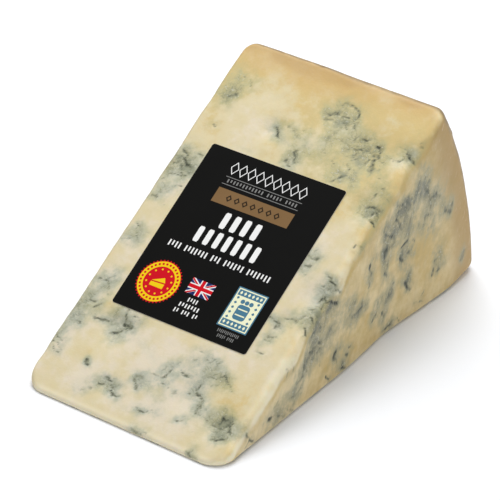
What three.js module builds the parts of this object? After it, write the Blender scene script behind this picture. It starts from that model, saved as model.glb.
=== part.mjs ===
// A wedge of blue-veined cheese with a paper label.
//
// The wedge is a slice of a low wheel, lying on one of its two cut faces. The other cut face
// slopes up from the thin edge at the front to the rind at the back and carries the label.
//
// Units are millimetres and +Z is up. Everything is laid out in the wheel's own frame: X runs
// along the wheel's axis, which is the line y = 0, z = 0, and Y runs from it out to the rind.
// The last lines move the whole group so that its origin is the middle of the base.

import * as THREE from 'three';
import { mergeVertices } from 'three/addons/utils/BufferGeometryUtils.js';

// ---------------------------------------------------------------- driving dimensions

// The wheel and the cut.
const WHEEL_RADIUS = 103;
const SLICE_WIDTH = 57.2;
const WEDGE_ANGLE = THREE.MathUtils.degToRad(29.4);
const THIN_EDGE_RADIUS = 1.85;

// Roundings. The plan corners are the four upright edges of the two end faces.
const FRONT_CORNER_RADIUS = 5.7;
const RIND_CORNER_RADIUS = 3.4;
const EDGE_RADIUS_AT_THIN_EDGE = 0.62;
const EDGE_RADIUS = 1.35;
const THIN_EDGE_REACH = 8;

// The edges of the right end face are worn rounder: the ridge above it, more so higher up but
// less where it meets the rind, and the heel where it meets the base and the rind.
const WORN_FROM = 0.4 * SLICE_WIDTH;
const WORN_TO = 0.6 * SLICE_WIDTH;
const RIDGE_EXTRA_RADIUS = 1.4;
const RIDGE_TOP_RADIUS = 1.3;
const RIDGE_TOP_FROM = 40;
const RIDGE_TOP_TO = 80;
const RIDGE_FADES_FROM = WHEEL_RADIUS - 14;
const RIDGE_FADES_TO = WHEEL_RADIUS - 2;
const RIDGE_SHARE_AT_RIND = 0.3;
const HEEL_EXTRA_RADIUS = 1.3;
const HEEL_FROM = 88;
const HEEL_TO = 100;

// The label and the shallow seat that it is pressed into.
const LABEL_WIDTH = 38.2;
const LABEL_HEIGHT = 45.9;
const LABEL_CORNER_RADIUS = 0.7;
const LABEL_THICKNESS = 0.35;
const LABEL_ACROSS = 27.55;
const LABEL_UP_SLOPE = 51.45;
const LABEL_TURN = THREE.MathUtils.degToRad(0.45);
const SEAT_DEPTH = 0.5;
const SEAT_GAP = 0.3;
const SEAT_WALL = 0.3;

// The lattice of the surface: the spacing of its lines over the faces, how far from an edge the
// lines that shape its rounding are, and the layers between the two cut faces.
const SPACING = 2.7;
const EDGE_STEPS = [0, 0.55, 1.3, 2.6];
const LAYERS = 16;
const FEWEST_LAYERS = 2;
const THINNEST_LAYER = 0.6;
const THICK_ENOUGH_FOR_FULL_STEPS = 13;
const LABEL_ARC_SEGMENTS = 4;

// Relief of the cut faces and the rind. In the waves, across is along X, outward along Y and
// around along the rim. Each gives the length over which its sine turns by one radian.
const UNDULATION = 0.22;
const LONG_WAVE = { share: 0.7, across: 8.3, outward: 9.1, bend: 0.9, bendOver: 13, start: [0.6, 1.1] };
const SHORT_WAVE = { share: 0.5, across: 4.4, outward: 6.1, up: 5.3, lean: 4.7, start: 2 };
const STREAK_DEPTH = 0.16;
const STREAK_SPACING = 9.5;
const STREAK_TILT = THREE.MathUtils.degToRad(60);
const STREAK_WANDER = { turn: 1.4, up: 11, outward: 23 };
const RIND_RELIEF = 0.55;
const RIND_FOLD = { share: 0.75, across: 3.1, around: 4.6, bend: 1.7, bendOver: 7.3, lean: 9 };
const RIND_RIPPLE = { share: 0.45, across: 1.9, around: 2.9, lean: 5.2, start: [0.8, 1.9] };
const RIND_SINK = 0.25;
const RIND_RELIEF_REACH = 5;

// Where the relief is held back: along cut edges, near the base, at the thin edge and round the label.
const TIDY_CUT_EDGE = 7;
const RELIEF_AT_EDGES = 0.3;
const FLAT_BASE_HEIGHT = 3;
const CALM_THIN_EDGE = 7;
const CALM_ROUND_LABEL = 1;
const FULL_RELIEF_FROM_LABEL = 4;

// Hollows where veins of mould have crumbled, on the sloping face: [across, up slope, radius, depth].
const SLOPE_HOLLOWS = [
  [33, 92, 5, 0.55],
  [45, 85, 5.5, 0.8],
  [53.5, 88, 3.2, 0.6],
  [20.5, 82.5, 3, 0.5],
  [53, 73, 4, 0.8],
  [5, 65, 4, 0.4],
  [55, 48, 4.5, 0.9],
  [50, 39, 3.5, 0.5],
  [14, 23.5, 4.5, 0.8],
  [41, 15.5, 5, 0.6],
  [51, 10.5, 4, 0.75],
  [21, 9, 3, 0.3],
];

// The same on the right end face: [outward, up, radius, depth].
const RIGHT_HOLLOWS = [
  [25, 5.5, 3.5, 0.4],
  [37.5, 12.5, 4.5, 0.8],
  [52.5, 15.5, 4, 0.5],
  [64, 26, 5, 0.9],
  [72, 19, 4, 0.6],
  [70.5, 33, 4, 0.5],
  [82, 30.5, 3.5, 0.6],
  [85, 11, 4, 0.5],
];

// The same on the left end face, which holds the far side of the veins: [outward, up, radius, depth].
const LEFT_HOLLOWS = [
  [34, 9, 4, 0.6],
  [46, 16, 5, 0.8],
  [61, 9, 4, 0.5],
  [67, 27, 5, 0.9],
  [80, 19, 4.5, 0.7],
  [88, 35, 4, 0.6],
];

// Slow swells of the right end face along the wheel's axis, strongest at the base:
// [outward, up, radius, amount]. It is drawn in past half way and flares before the rind.
const RIGHT_SWELLS = [
  [66, 0, 10, -0.95],
  [92, 2, 9, 0.7],
];
const SWELL_REACH = 14;

const PASTE_COLOUR = 0xe3d3af;
const PASTE_ROUGHNESS = 0.5;
const PAPER_COLOUR = 0x1c1c1a;
const PAPER_ROUGHNESS = 0.55;

// ---------------------------------------------------------------- small helpers

const { clamp, smoothstep } = THREE.MathUtils;

const SLOPE_OUT = new THREE.Vector3(0, -Math.sin(WEDGE_ANGLE), Math.cos(WEDGE_ANGLE));

// The point of the sloping face at a place across it and up its slope.
function onSlope(across, upSlope) {
  return new THREE.Vector3(across, upSlope * Math.cos(WEDGE_ANGLE), upSlope * Math.sin(WEDGE_ANGLE));
}

// The signed distance to where two half-spaces meet, with the edge between them rounded.
function roundedEdge(first, second, radius) {
  const outer = Math.hypot(Math.max(first + radius, 0), Math.max(second + radius, 0));
  return outer + Math.min(Math.max(first, second), -radius);
}

// A round bump that is 1 in the middle and fades out at about twice the radius.
function bump(distance, radius) {
  return Math.exp(-((distance / radius) ** 2));
}

// ---------------------------------------------------------------- the plain rounded wedge

// The radius of a rounded cut edge: small at the thin edge, full beyond it, and with the extra
// wear of the right side.
function cutEdgeRadius({ x, y }, extra) {
  const worn = extra * smoothstep(x, WORN_FROM, WORN_TO);
  const grown = smoothstep(y, THIN_EDGE_RADIUS, THIN_EDGE_RADIUS + THIN_EDGE_REACH);
  return EDGE_RADIUS_AT_THIN_EDGE + grown * (EDGE_RADIUS - EDGE_RADIUS_AT_THIN_EDGE + worn);
}

function slopeEdgeRadius(point) {
  const top = RIDGE_TOP_RADIUS * smoothstep(point.y, RIDGE_TOP_FROM, RIDGE_TOP_TO);
  const fade = smoothstep(Math.hypot(point.y, point.z), RIDGE_FADES_FROM, RIDGE_FADES_TO);
  const kept = 1 - (1 - RIDGE_SHARE_AT_RIND) * fade;
  return cutEdgeRadius(point, (RIDGE_EXTRA_RADIUS + top) * kept);
}

function baseEdgeRadius(point) {
  return cutEdgeRadius(point, HEEL_EXTRA_RADIUS * smoothstep(point.y, HEEL_FROM, HEEL_TO));
}

// The signed distance from a point to the wedge, negative inside.
function distanceToWedge(point) {
  const ends = Math.max(-point.x, point.x - SLICE_WIDTH);
  const front = THIN_EDGE_RADIUS - point.y;
  const rind = Math.hypot(point.y, point.z) - WHEEL_RADIUS;
  const plan = Math.max(
    roundedEdge(ends, front, FRONT_CORNER_RADIUS),
    roundedEdge(ends, rind, RIND_CORNER_RADIUS),
  );
  const slope = point.dot(SLOPE_OUT);
  const base = -point.z;
  return Math.max(
    roundedEdge(plan, slope, slopeEdgeRadius(point)),
    roundedEdge(plan, base, baseEdgeRadius(point)),
  );
}

// How far apart points are compared to find which way is out, and how often a point is moved.
const PROBE = 1e-3;
const SETTLING_PASSES = 10;

function outwardAt(point) {
  const here = distanceToWedge(point);
  const slope = ['x', 'y', 'z'].map((axis) => {
    const beside = point.clone();
    beside[axis] += PROBE;
    return distanceToWedge(beside) - here;
  });
  return new THREE.Vector3(...slope).normalize();
}

// Moves a point that is near the surface onto it.
function settle(point) {
  for (let pass = 0; pass < SETTLING_PASSES; pass += 1) {
    point.addScaledVector(outwardAt(point), -distanceToWedge(point));
  }
}

// ---------------------------------------------------------------- relief

// Slow unevenness of the whole surface.
function undulation({ x, y, z }) {
  const bend = LONG_WAVE.bend * Math.sin(y / LONG_WAVE.bendOver);
  const long = Math.sin(x / LONG_WAVE.across + bend + LONG_WAVE.start[0])
    * Math.sin(y / LONG_WAVE.outward + LONG_WAVE.start[1]);
  const short = Math.sin(x / SHORT_WAVE.across + y / SHORT_WAVE.outward)
    * Math.sin(z / SHORT_WAVE.up + y / SHORT_WAVE.lean + SHORT_WAVE.start);
  return UNDULATION * (LONG_WAVE.share * long + SHORT_WAVE.share * short);
}

// Knife strokes dragged across the two end faces.
function streaks({ y, z }) {
  const acrossStroke = y * Math.sin(STREAK_TILT) - z * Math.cos(STREAK_TILT);
  const wander = STREAK_WANDER.turn * Math.sin(z / STREAK_WANDER.up + y / STREAK_WANDER.outward);
  return STREAK_DEPTH * Math.sin((2 * Math.PI * acrossStroke) / STREAK_SPACING + wander);
}

// The wrinkled crust, with its pits.
function crust({ x, y, z }) {
  const around = WHEEL_RADIUS * Math.atan2(z, y);
  const bend = RIND_FOLD.bend * Math.sin(around / RIND_FOLD.bendOver);
  const folds = Math.sin(x / RIND_FOLD.across + bend)
    * Math.sin(around / RIND_FOLD.around + x / RIND_FOLD.lean);
  const ripples = Math.sin(x / RIND_RIPPLE.across - around / RIND_RIPPLE.lean + RIND_RIPPLE.start[0])
    * Math.sin(around / RIND_RIPPLE.around + RIND_RIPPLE.start[1]);
  return RIND_RELIEF * (RIND_FOLD.share * folds + RIND_RIPPLE.share * ripples - RIND_SINK);
}

function hollowedAt(point, hollows, placeOf) {
  let depth = 0;
  for (const [first, second, radius, deep] of hollows) {
    depth += deep * bump(point.distanceTo(placeOf(first, second)), radius);
  }
  return depth;
}

// How far a point of the sloping face is outside the label's outline.
function outsideLabel(point) {
  const across = Math.abs(point.x - LABEL_ACROSS) - LABEL_WIDTH / 2;
  const along = Math.abs(Math.hypot(point.y, point.z) - LABEL_UP_SLOPE) - LABEL_HEIGHT / 2;
  return Math.max(across, along);
}

// The seat is a flat floor under the label with a short sloping wall round it. Only points of the
// sloping face itself have one.
const FACES_UP_SLOPE = 0.99;

function seatDepthAt(point, outward) {
  const wall = (outsideLabel(point) - SEAT_GAP) / SEAT_WALL;
  return outward.dot(SLOPE_OUT) > FACES_UP_SLOPE ? SEAT_DEPTH * clamp(1 - wall, 0, 1) : 0;
}

// How far the real surface stands out from the plain wedge, along its normal.
function reliefAt(point, outward) {
  const endFace = Math.abs(outward.x);
  const slopeDepth = -point.dot(SLOPE_OUT);
  const cutEdge = Math.min(slopeDepth, point.z, point.x, SLICE_WIDTH - point.x);
  const rim = WHEEL_RADIUS - Math.hypot(point.y, point.z);
  const offEdges = smoothstep(cutEdge, 0, TIDY_CUT_EDGE);
  const onRind = (1 - smoothstep(rim, 0, RIND_RELIEF_REACH)) * offEdges;
  const alongEdges = RELIEF_AT_EDGES + (1 - RELIEF_AT_EDGES) * offEdges;
  const cuts = (undulation(point) + streaks(point) * endFace) * alongEdges;
  const hollows = hollowedAt(point, SLOPE_HOLLOWS, onSlope)
    + hollowedAt(point, RIGHT_HOLLOWS, (y, z) => new THREE.Vector3(SLICE_WIDTH, y, z))
    + hollowedAt(point, LEFT_HOLLOWS, (y, z) => new THREE.Vector3(0, y, z));
  const offBase = smoothstep(point.z, 0, FLAT_BASE_HEIGHT);
  const offThinEdge = smoothstep(point.y, THIN_EDGE_RADIUS, THIN_EDGE_RADIUS + CALM_THIN_EDGE);
  const fromLabel = Math.max(outsideLabel(point), slopeDepth);
  const offLabel = smoothstep(fromLabel, CALM_ROUND_LABEL, FULL_RELIEF_FROM_LABEL);
  return (cuts + crust(point) * onRind - hollows) * offBase * offThinEdge * offLabel;
}

// The slow swells shift everything near the right end face along X.
function swellAt({ x, y, z }) {
  let shift = 0;
  for (const [outward, up, radius, amount] of RIGHT_SWELLS) {
    shift += amount * bump(Math.hypot(y - outward, z - up), radius);
  }
  return shift * smoothstep(x, SLICE_WIDTH - SWELL_REACH, SLICE_WIDTH);
}

// ---------------------------------------------------------------- the lattice

// Lines from one place to the next, evenly spread, without the first.
function evenly(from, to) {
  const count = Math.ceil((to - from) / SPACING);
  return Array.from({ length: count }, (_, index) => from + ((to - from) * (index + 1)) / count);
}

// Lines over a face that is crossed by the label's seat: close together in the rounded edges at
// the two ends and at the seat's wall, even between them.
function linesAcross(start, end, labelMiddle, labelSize) {
  const floor = labelSize / 2 + SEAT_GAP;
  const rim = floor + SEAT_WALL;
  const edge = EDGE_STEPS[EDGE_STEPS.length - 1];
  return [
    ...EDGE_STEPS.map((step) => start + step),
    ...evenly(start + edge, labelMiddle - rim),
    ...evenly(labelMiddle - rim, labelMiddle - floor),
    ...evenly(labelMiddle - floor, labelMiddle + floor),
    ...evenly(labelMiddle + floor, labelMiddle + rim),
    ...evenly(labelMiddle + rim, end - edge),
    ...EDGE_STEPS.slice(0, -1).reverse().map((step) => end - step),
  ];
}

const COLUMN_LINES = linesAcross(0, SLICE_WIDTH, LABEL_ACROSS, LABEL_WIDTH);
const ROW_LINES = linesAcross(THIN_EDGE_RADIUS, WHEEL_RADIUS, LABEL_UP_SLOPE, LABEL_HEIGHT);

// Heights of the layers' lines over the base, along the arc between the two cut faces.
function linesUp(arcLength, count) {
  const last = EDGE_STEPS.length - 1;
  if (count < 2 * last + 2) {
    return Array.from({ length: count + 1 }, (_, index) => (arcLength * index) / count);
  }
  const squeeze = Math.min(1, arcLength / THICK_ENOUGH_FOR_FULL_STEPS);
  const lead = EDGE_STEPS.map((step) => step * squeeze);
  const even = (arcLength - 2 * lead[last]) / (count - 2 * last);
  return [
    ...lead,
    ...Array.from({ length: count - 2 * last - 1 }, (_, index) => lead[last] + even * (index + 1)),
    ...lead.map((step) => arcLength - step).reverse(),
  ];
}

// A vertex of the unit box becomes a point of the wedge, through the wheel's polar coordinates.
// Where the wedge is thin, neighbouring layers fall together.
function latticePoint(vertex) {
  const columns = COLUMN_LINES.length - 1;
  const rows = ROW_LINES.length - 1;
  const x = COLUMN_LINES[Math.round((vertex.x + 0.5) * columns)];
  const radius = ROW_LINES[Math.round((vertex.y + 0.5) * rows)];
  const arcLength = radius * WEDGE_ANGLE;
  const layers = clamp(Math.round(arcLength / THINNEST_LAYER), FEWEST_LAYERS, LAYERS);
  const angle = linesUp(arcLength, layers)[Math.round((vertex.z + 0.5) * layers)] / radius;
  return new THREE.Vector3(x, radius * Math.cos(angle), radius * Math.sin(angle));
}

// Triangles that lost an edge where points fell together are left out.
function withoutCollapsedTriangles(geometry) {
  const merged = mergeVertices(geometry);
  const corners = merged.getIndex().array;
  const kept = [];
  for (let first = 0; first < corners.length; first += 3) {
    const triangle = corners.slice(first, first + 3);
    if (new Set(triangle).size === 3) kept.push(...triangle);
  }
  merged.setIndex(kept);
  return merged;
}

function wedgeGeometry() {
  const columns = COLUMN_LINES.length - 1;
  const rows = ROW_LINES.length - 1;
  const geometry = new THREE.BoxGeometry(1, 1, 1, columns, rows, LAYERS);
  geometry.deleteAttribute('normal');
  geometry.deleteAttribute('uv');
  const positions = geometry.getAttribute('position');
  const vertex = new THREE.Vector3();
  for (let index = 0; index < positions.count; index += 1) {
    const point = latticePoint(vertex.fromBufferAttribute(positions, index));
    settle(point);
    const outward = outwardAt(point);
    point.addScaledVector(outward, reliefAt(point, outward) - seatDepthAt(point, outward));
    point.x += swellAt(point);
    positions.setXYZ(index, point.x, point.y, Math.max(point.z, 0));
  }
  const closed = withoutCollapsedTriangles(geometry);
  closed.computeVertexNormals();
  return closed;
}

// ---------------------------------------------------------------- the two pieces

function makeCheese() {
  const paste = new THREE.MeshStandardMaterial({
    color: PASTE_COLOUR,
    roughness: PASTE_ROUGHNESS,
    metalness: 0,
  });
  const cheese = new THREE.Mesh(wedgeGeometry(), paste);
  cheese.name = 'cheese';
  return cheese;
}

// A flat sheet with rounded corners, laid in its seat slightly askew.
function makeLabel() {
  const right = LABEL_WIDTH / 2 - LABEL_CORNER_RADIUS;
  const top = LABEL_HEIGHT / 2 - LABEL_CORNER_RADIUS;
  const outline = new THREE.Shape();
  outline.absarc(right, top, LABEL_CORNER_RADIUS, 0, Math.PI / 2);
  outline.absarc(-right, top, LABEL_CORNER_RADIUS, Math.PI / 2, Math.PI);
  outline.absarc(-right, -top, LABEL_CORNER_RADIUS, Math.PI, 1.5 * Math.PI);
  outline.absarc(right, -top, LABEL_CORNER_RADIUS, 1.5 * Math.PI, 2 * Math.PI);
  const sheet = new THREE.ExtrudeGeometry(outline, {
    depth: LABEL_THICKNESS,
    bevelEnabled: false,
    curveSegments: LABEL_ARC_SEGMENTS,
  });
  const paper = new THREE.MeshStandardMaterial({
    color: PAPER_COLOUR,
    roughness: PAPER_ROUGHNESS,
    metalness: 0,
  });
  const label = new THREE.Mesh(sheet, paper);
  const underside = SEAT_GAP - SEAT_DEPTH;
  label.rotation.set(WEDGE_ANGLE, 0, LABEL_TURN);
  label.position.copy(onSlope(LABEL_ACROSS, LABEL_UP_SLOPE)).addScaledVector(SLOPE_OUT, underside);
  label.name = 'label';
  return label;
}

const wedge = new THREE.Group();
wedge.add(makeCheese(), makeLabel());

const reach = new THREE.Box3().setFromObject(wedge);
const middle = reach.getCenter(new THREE.Vector3());
wedge.position.set(-middle.x, -middle.y, -reach.min.z);

export default wedge;
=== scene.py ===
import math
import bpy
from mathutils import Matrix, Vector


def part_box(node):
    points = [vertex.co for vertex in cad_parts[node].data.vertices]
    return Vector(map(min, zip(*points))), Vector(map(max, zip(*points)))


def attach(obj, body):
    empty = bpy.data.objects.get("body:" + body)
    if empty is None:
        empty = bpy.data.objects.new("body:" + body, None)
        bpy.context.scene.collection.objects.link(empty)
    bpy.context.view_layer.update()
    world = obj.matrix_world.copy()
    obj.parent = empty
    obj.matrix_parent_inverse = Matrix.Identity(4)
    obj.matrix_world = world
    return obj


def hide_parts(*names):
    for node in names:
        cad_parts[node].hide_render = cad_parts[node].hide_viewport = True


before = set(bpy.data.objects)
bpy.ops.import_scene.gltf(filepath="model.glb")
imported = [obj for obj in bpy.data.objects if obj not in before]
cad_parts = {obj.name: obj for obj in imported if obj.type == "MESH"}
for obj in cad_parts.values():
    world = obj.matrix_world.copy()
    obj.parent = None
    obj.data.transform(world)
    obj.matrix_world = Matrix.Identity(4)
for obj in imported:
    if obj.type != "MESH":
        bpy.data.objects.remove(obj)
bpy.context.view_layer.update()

# A wedge of blue-veined cheese with a paper label, dressed over its CAD frame.
#
# The wedge is laid out in the frame of the wheel that it was cut from, in millimetres: X runs along
# the wheel's axis, which is the line y = 0, z = 0, and Y runs from it out to the rind. The base is
# z = 0. Points are moved into the part's frame, in metres, only when a mesh is made.

from types import SimpleNamespace as Sizes

import bpy
import numpy as np
from mathutils import Matrix

MM = 0.001

# ------------------------------------------------------------------ sizes that the part has too

# The wheel and the cut.
WHEEL_RADIUS = 103
SLICE_WIDTH = 57.2
WEDGE_ANGLE = math.radians(29.4)
THIN_EDGE_RADIUS = 1.85

# Roundings. The front and rind corners are the four upright edges of the two end faces.
FRONT_CORNER_RADIUS = 5.7
RIND_CORNER_RADIUS = 3.4
EDGE_RADIUS_AT_THIN_EDGE = 0.62
EDGE_RADIUS = 1.35
THIN_EDGE_REACH = 8

# The right end face's edges are worn rounder: the ridge above it and the heel by the rind.
WORN_FROM = 0.4 * SLICE_WIDTH
WORN_TO = 0.6 * SLICE_WIDTH
RIDGE_EXTRA_RADIUS = 1.4
RIDGE_TOP_RADIUS = 1.3
RIDGE_TOP_FROM = 40
RIDGE_TOP_TO = 80
RIDGE_FADES_FROM = WHEEL_RADIUS - 14
RIDGE_FADES_TO = WHEEL_RADIUS - 2
RIDGE_SHARE_AT_RIND = 0.3
HEEL_EXTRA_RADIUS = 1.3
HEEL_FROM = 88
HEEL_TO = 100

# The label and the shallow seat that it is pressed into.
LABEL_WIDTH = 38.2
LABEL_HEIGHT = 45.9
LABEL_CORNER_RADIUS = 0.7
LABEL_THICKNESS = 0.35
LABEL_ACROSS = 27.55
LABEL_UP_SLOPE = 51.45
LABEL_TURN = math.radians(0.45)
SEAT_DEPTH = 0.5
SEAT_GAP = 0.3
UNDERSIDE = SEAT_GAP - SEAT_DEPTH
LABEL_TOP = UNDERSIDE + LABEL_THICKNESS

# Relief of the cut faces and the rind. In the waves, across is along X, outward along Y and around
# along the rim. Each gives the length over which its sine turns by one radian.
UNDULATION = 0.22
LONG_WAVE = Sizes(share=0.7, across=8.3, outward=9.1, bend=0.9, bend_over=13, start=(0.6, 1.1))
SHORT_WAVE = Sizes(share=0.5, across=4.4, outward=6.1, up=5.3, lean=4.7, start=2)
STREAK_DEPTH = 0.16
STREAK_SPACING = 9.5
STREAK_TILT = math.radians(60)
STREAK_WANDER = Sizes(turn=1.4, up=11, outward=23)
RIND_RELIEF = 0.55
RIND_FOLD = Sizes(share=0.75, across=3.1, around=4.6, bend=1.7, bend_over=7.3, lean=9)
RIND_RIPPLE = Sizes(share=0.45, across=1.9, around=2.9, lean=5.2, start=(0.8, 1.9))
RIND_SINK = 0.25
RIND_RELIEF_REACH = 5

# Where the relief is held back: along cut edges, near the base, at the thin edge and round the label.
TIDY_CUT_EDGE = 7
RELIEF_AT_EDGES = 0.3
FLAT_BASE_HEIGHT = 3
CALM_THIN_EDGE = 7
CALM_ROUND_LABEL = 1
FULL_RELIEF_FROM_LABEL = 4

# Hollows where veins have crumbled, (across, up slope, radius, depth) on the sloping face and
# (outward, up, radius, depth) on the end faces.
SLOPE_HOLLOWS = [
    (33, 92, 5, 0.55), (45, 85, 5.5, 0.8), (53.5, 88, 3.2, 0.6), (20.5, 82.5, 3, 0.5),
    (53, 73, 4, 0.8), (5, 65, 4, 0.4), (55, 48, 4.5, 0.9), (50, 39, 3.5, 0.5),
    (14, 23.5, 4.5, 0.8), (41, 15.5, 5, 0.6), (51, 10.5, 4, 0.75), (21, 9, 3, 0.3),
]
RIGHT_HOLLOWS = [
    (25, 5.5, 3.5, 0.4), (37.5, 12.5, 4.5, 0.8), (52.5, 15.5, 4, 0.5), (64, 26, 5, 0.9),
    (72, 19, 4, 0.6), (70.5, 33, 4, 0.5), (82, 30.5, 3.5, 0.6), (85, 11, 4, 0.5),
]
LEFT_HOLLOWS = [
    (34, 9, 4, 0.6), (46, 16, 5, 0.8), (61, 9, 4, 0.5), (67, 27, 5, 0.9),
    (80, 19, 4.5, 0.7), (88, 35, 4, 0.6),
]

# Slow swells of the right end face along X: (outward, up, radius, amount).
RIGHT_SWELLS = [(66, 0, 10, -0.95), (92, 2, 9, 0.7)]
SWELL_REACH = 14

SLOPE_ALONG = np.array([0, math.cos(WEDGE_ANGLE), math.sin(WEDGE_ANGLE)])
SLOPE_OUT = np.array([0, -math.sin(WEDGE_ANGLE), math.cos(WEDGE_ANGLE)])


def turned(first, second, angle):
    """Two coordinates measured along a direction at an angle from the first, and aside of it."""
    cos, sin = math.cos(angle), math.sin(angle)
    return first * cos + second * sin, second * cos - first * sin


def on_slope(across, up_slope, height=0.0):
    """The point over the sloping face at a place across it and up its slope."""
    return np.array([across, 0, 0]) + up_slope * SLOPE_ALONG + height * SLOPE_OUT


def on_label(across, up, height):
    """The point over the label at a place right of its middle and up from it."""
    across, up = turned(across, up, -LABEL_TURN)
    return on_slope(LABEL_ACROSS + across, LABEL_UP_SLOPE + up, height)


def place_of_wheel():
    """Where the part's frame has the wheel's axis: the label's box tells it."""
    low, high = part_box("label")
    middle = (np.array(low) + np.array(high)) / 2 / MM
    return middle - on_slope(LABEL_ACROSS, LABEL_UP_SLOPE, UNDERSIDE + LABEL_THICKNESS / 2)


WHEEL_PLACE = place_of_wheel()


def to_part(points):
    """Wheel-frame millimetres to part-frame metres."""
    return (np.asarray(points, float) + WHEEL_PLACE) * MM


# ------------------------------------------------------------------ small helpers

def smoothstep(value, low, high):
    t = np.clip((value - low) / (high - low), 0, 1)
    return t * t * (3 - 2 * t)


def fading(value, low, high):
    return 1 - smoothstep(value, low, high)


def bump(distance, radius):
    return np.exp(-((distance / radius) ** 2))


# Factors that scramble a whole-number place and a seed into bits that look random.
PLACE_FACTORS = (374761393, 668265263, 1274126177)
SEED_FACTOR = 97471
SEED_START = 1013
BIT_STEPS = ((13, 1274126177), (16, 2246822519), (15, 1))


def lattice_value(cell, seed):
    """A repeatable value from 0 to 1 for each whole-number place."""
    mixed = np.uint32((seed * SEED_FACTOR + SEED_START) % 2**32)
    for axis, factor in enumerate(PLACE_FACTORS):
        mixed = mixed + cell[..., axis].astype(np.int64).astype(np.uint32) * np.uint32(factor)
    for shift, factor in BIT_STEPS:
        mixed ^= mixed >> np.uint32(shift)
        mixed = mixed * np.uint32(factor)
    return mixed.astype(float) / 2**32


def noise(points, size, seed):
    """Smooth noise from -1 to 1 with features of about the given size."""
    scaled = points / size
    cell = np.floor(scaled)
    part = scaled - cell
    part = part * part * part * (part * (part * 6 - 15) + 10)
    total = np.zeros(len(points))
    for corner in np.ndindex(2, 2, 2):
        offset = np.array(corner)
        weight = np.prod(np.where(offset, part, 1 - part), axis=1)
        total += weight * lattice_value(cell + offset, seed)
    return 2 * total - 1


def rough_noise(points, size, seed, octaves=3):
    """Layers of noise, each half the size and half the strength of the one before."""
    total = np.zeros(len(points))
    for octave in range(octaves):
        total += noise(points, size / 2**octave, seed + octave) / 2**octave
    return total / (2 - 2 ** (1 - octaves))


# ------------------------------------------------------------------ the wedge's form

def rounded_edge(first, second, radius):
    """The signed distance to where two half-spaces meet, with the edge between them rounded."""
    outer = np.hypot(np.maximum(first + radius, 0), np.maximum(second + radius, 0))
    return outer + np.minimum(np.maximum(first, second), -radius)


def edge_radii(points):
    """The radii of the edges round the slope and round the base, at each point."""
    x, y, z = points.T
    worn = smoothstep(x, WORN_FROM, WORN_TO)
    grown = smoothstep(y, THIN_EDGE_RADIUS, THIN_EDGE_RADIUS + THIN_EDGE_REACH)
    plain = EDGE_RADIUS - EDGE_RADIUS_AT_THIN_EDGE
    top = RIDGE_TOP_RADIUS * smoothstep(y, RIDGE_TOP_FROM, RIDGE_TOP_TO)
    fade = smoothstep(np.hypot(y, z), RIDGE_FADES_FROM, RIDGE_FADES_TO)
    ridge = (RIDGE_EXTRA_RADIUS + top) * (1 - (1 - RIDGE_SHARE_AT_RIND) * fade)
    heel = HEEL_EXTRA_RADIUS * smoothstep(y, HEEL_FROM, HEEL_TO)
    return (
        EDGE_RADIUS_AT_THIN_EDGE + grown * (plain + ridge * worn),
        EDGE_RADIUS_AT_THIN_EDGE + grown * (plain + heel * worn),
    )


def distance_to_wedge(points):
    """The signed distance from each point to the plain rounded wedge, negative inside."""
    x, y, z = points.T
    slope_radius, base_radius = edge_radii(points)
    ends = np.maximum(-x, x - SLICE_WIDTH)
    front = THIN_EDGE_RADIUS - y
    rind = np.hypot(y, z) - WHEEL_RADIUS
    plan = np.maximum(
        rounded_edge(ends, front, FRONT_CORNER_RADIUS),
        rounded_edge(ends, rind, RIND_CORNER_RADIUS),
    )
    return np.maximum(
        rounded_edge(plan, points @ SLOPE_OUT, slope_radius),
        rounded_edge(plan, -z, base_radius),
    )


# How far apart points are compared to find which way is out, and how often a point is moved.
PROBE = 1e-3
SETTLING_PASSES = 10


def outward_at(points):
    here = distance_to_wedge(points)
    slopes = [distance_to_wedge(points + PROBE * axis) - here for axis in np.eye(3)]
    outward = np.stack(slopes, -1)
    return outward / np.maximum(np.linalg.norm(outward, axis=1, keepdims=True), 1e-9)


def settled(points):
    """Points near the wedge's surface, moved onto it."""
    for _ in range(SETTLING_PASSES):
        points = points - outward_at(points) * distance_to_wedge(points)[:, None]
    return points


# ------------------------------------------------------------------ relief that the part has too

def undulation(points):
    """Slow unevenness of the whole surface."""
    x, y, z = points.T
    long, short = LONG_WAVE, SHORT_WAVE
    bend = long.bend * np.sin(y / long.bend_over)
    slow = np.sin(x / long.across + bend + long.start[0]) * np.sin(y / long.outward + long.start[1])
    quick = np.sin(x / short.across + y / short.outward)
    quick = quick * np.sin(z / short.up + y / short.lean + short.start)
    return UNDULATION * (long.share * slow + short.share * quick)


def streaks(points):
    """Knife strokes dragged across the two end faces."""
    _, y, z = points.T
    across_stroke = y * math.sin(STREAK_TILT) - z * math.cos(STREAK_TILT)
    wander = STREAK_WANDER.turn * np.sin(z / STREAK_WANDER.up + y / STREAK_WANDER.outward)
    return STREAK_DEPTH * np.sin(2 * math.pi * across_stroke / STREAK_SPACING + wander)


def crust(points):
    """The wrinkled rind, with its pits."""
    x, y, z = points.T
    around = WHEEL_RADIUS * np.arctan2(z, y)
    fold, ripple = RIND_FOLD, RIND_RIPPLE
    folds = np.sin(x / fold.across + fold.bend * np.sin(around / fold.bend_over))
    folds = folds * np.sin(around / fold.around + x / fold.lean)
    ripples = np.sin(x / ripple.across - around / ripple.lean + ripple.start[0])
    ripples = ripples * np.sin(around / ripple.around + ripple.start[1])
    return RIND_RELIEF * (fold.share * folds + ripple.share * ripples - RIND_SINK)


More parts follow.
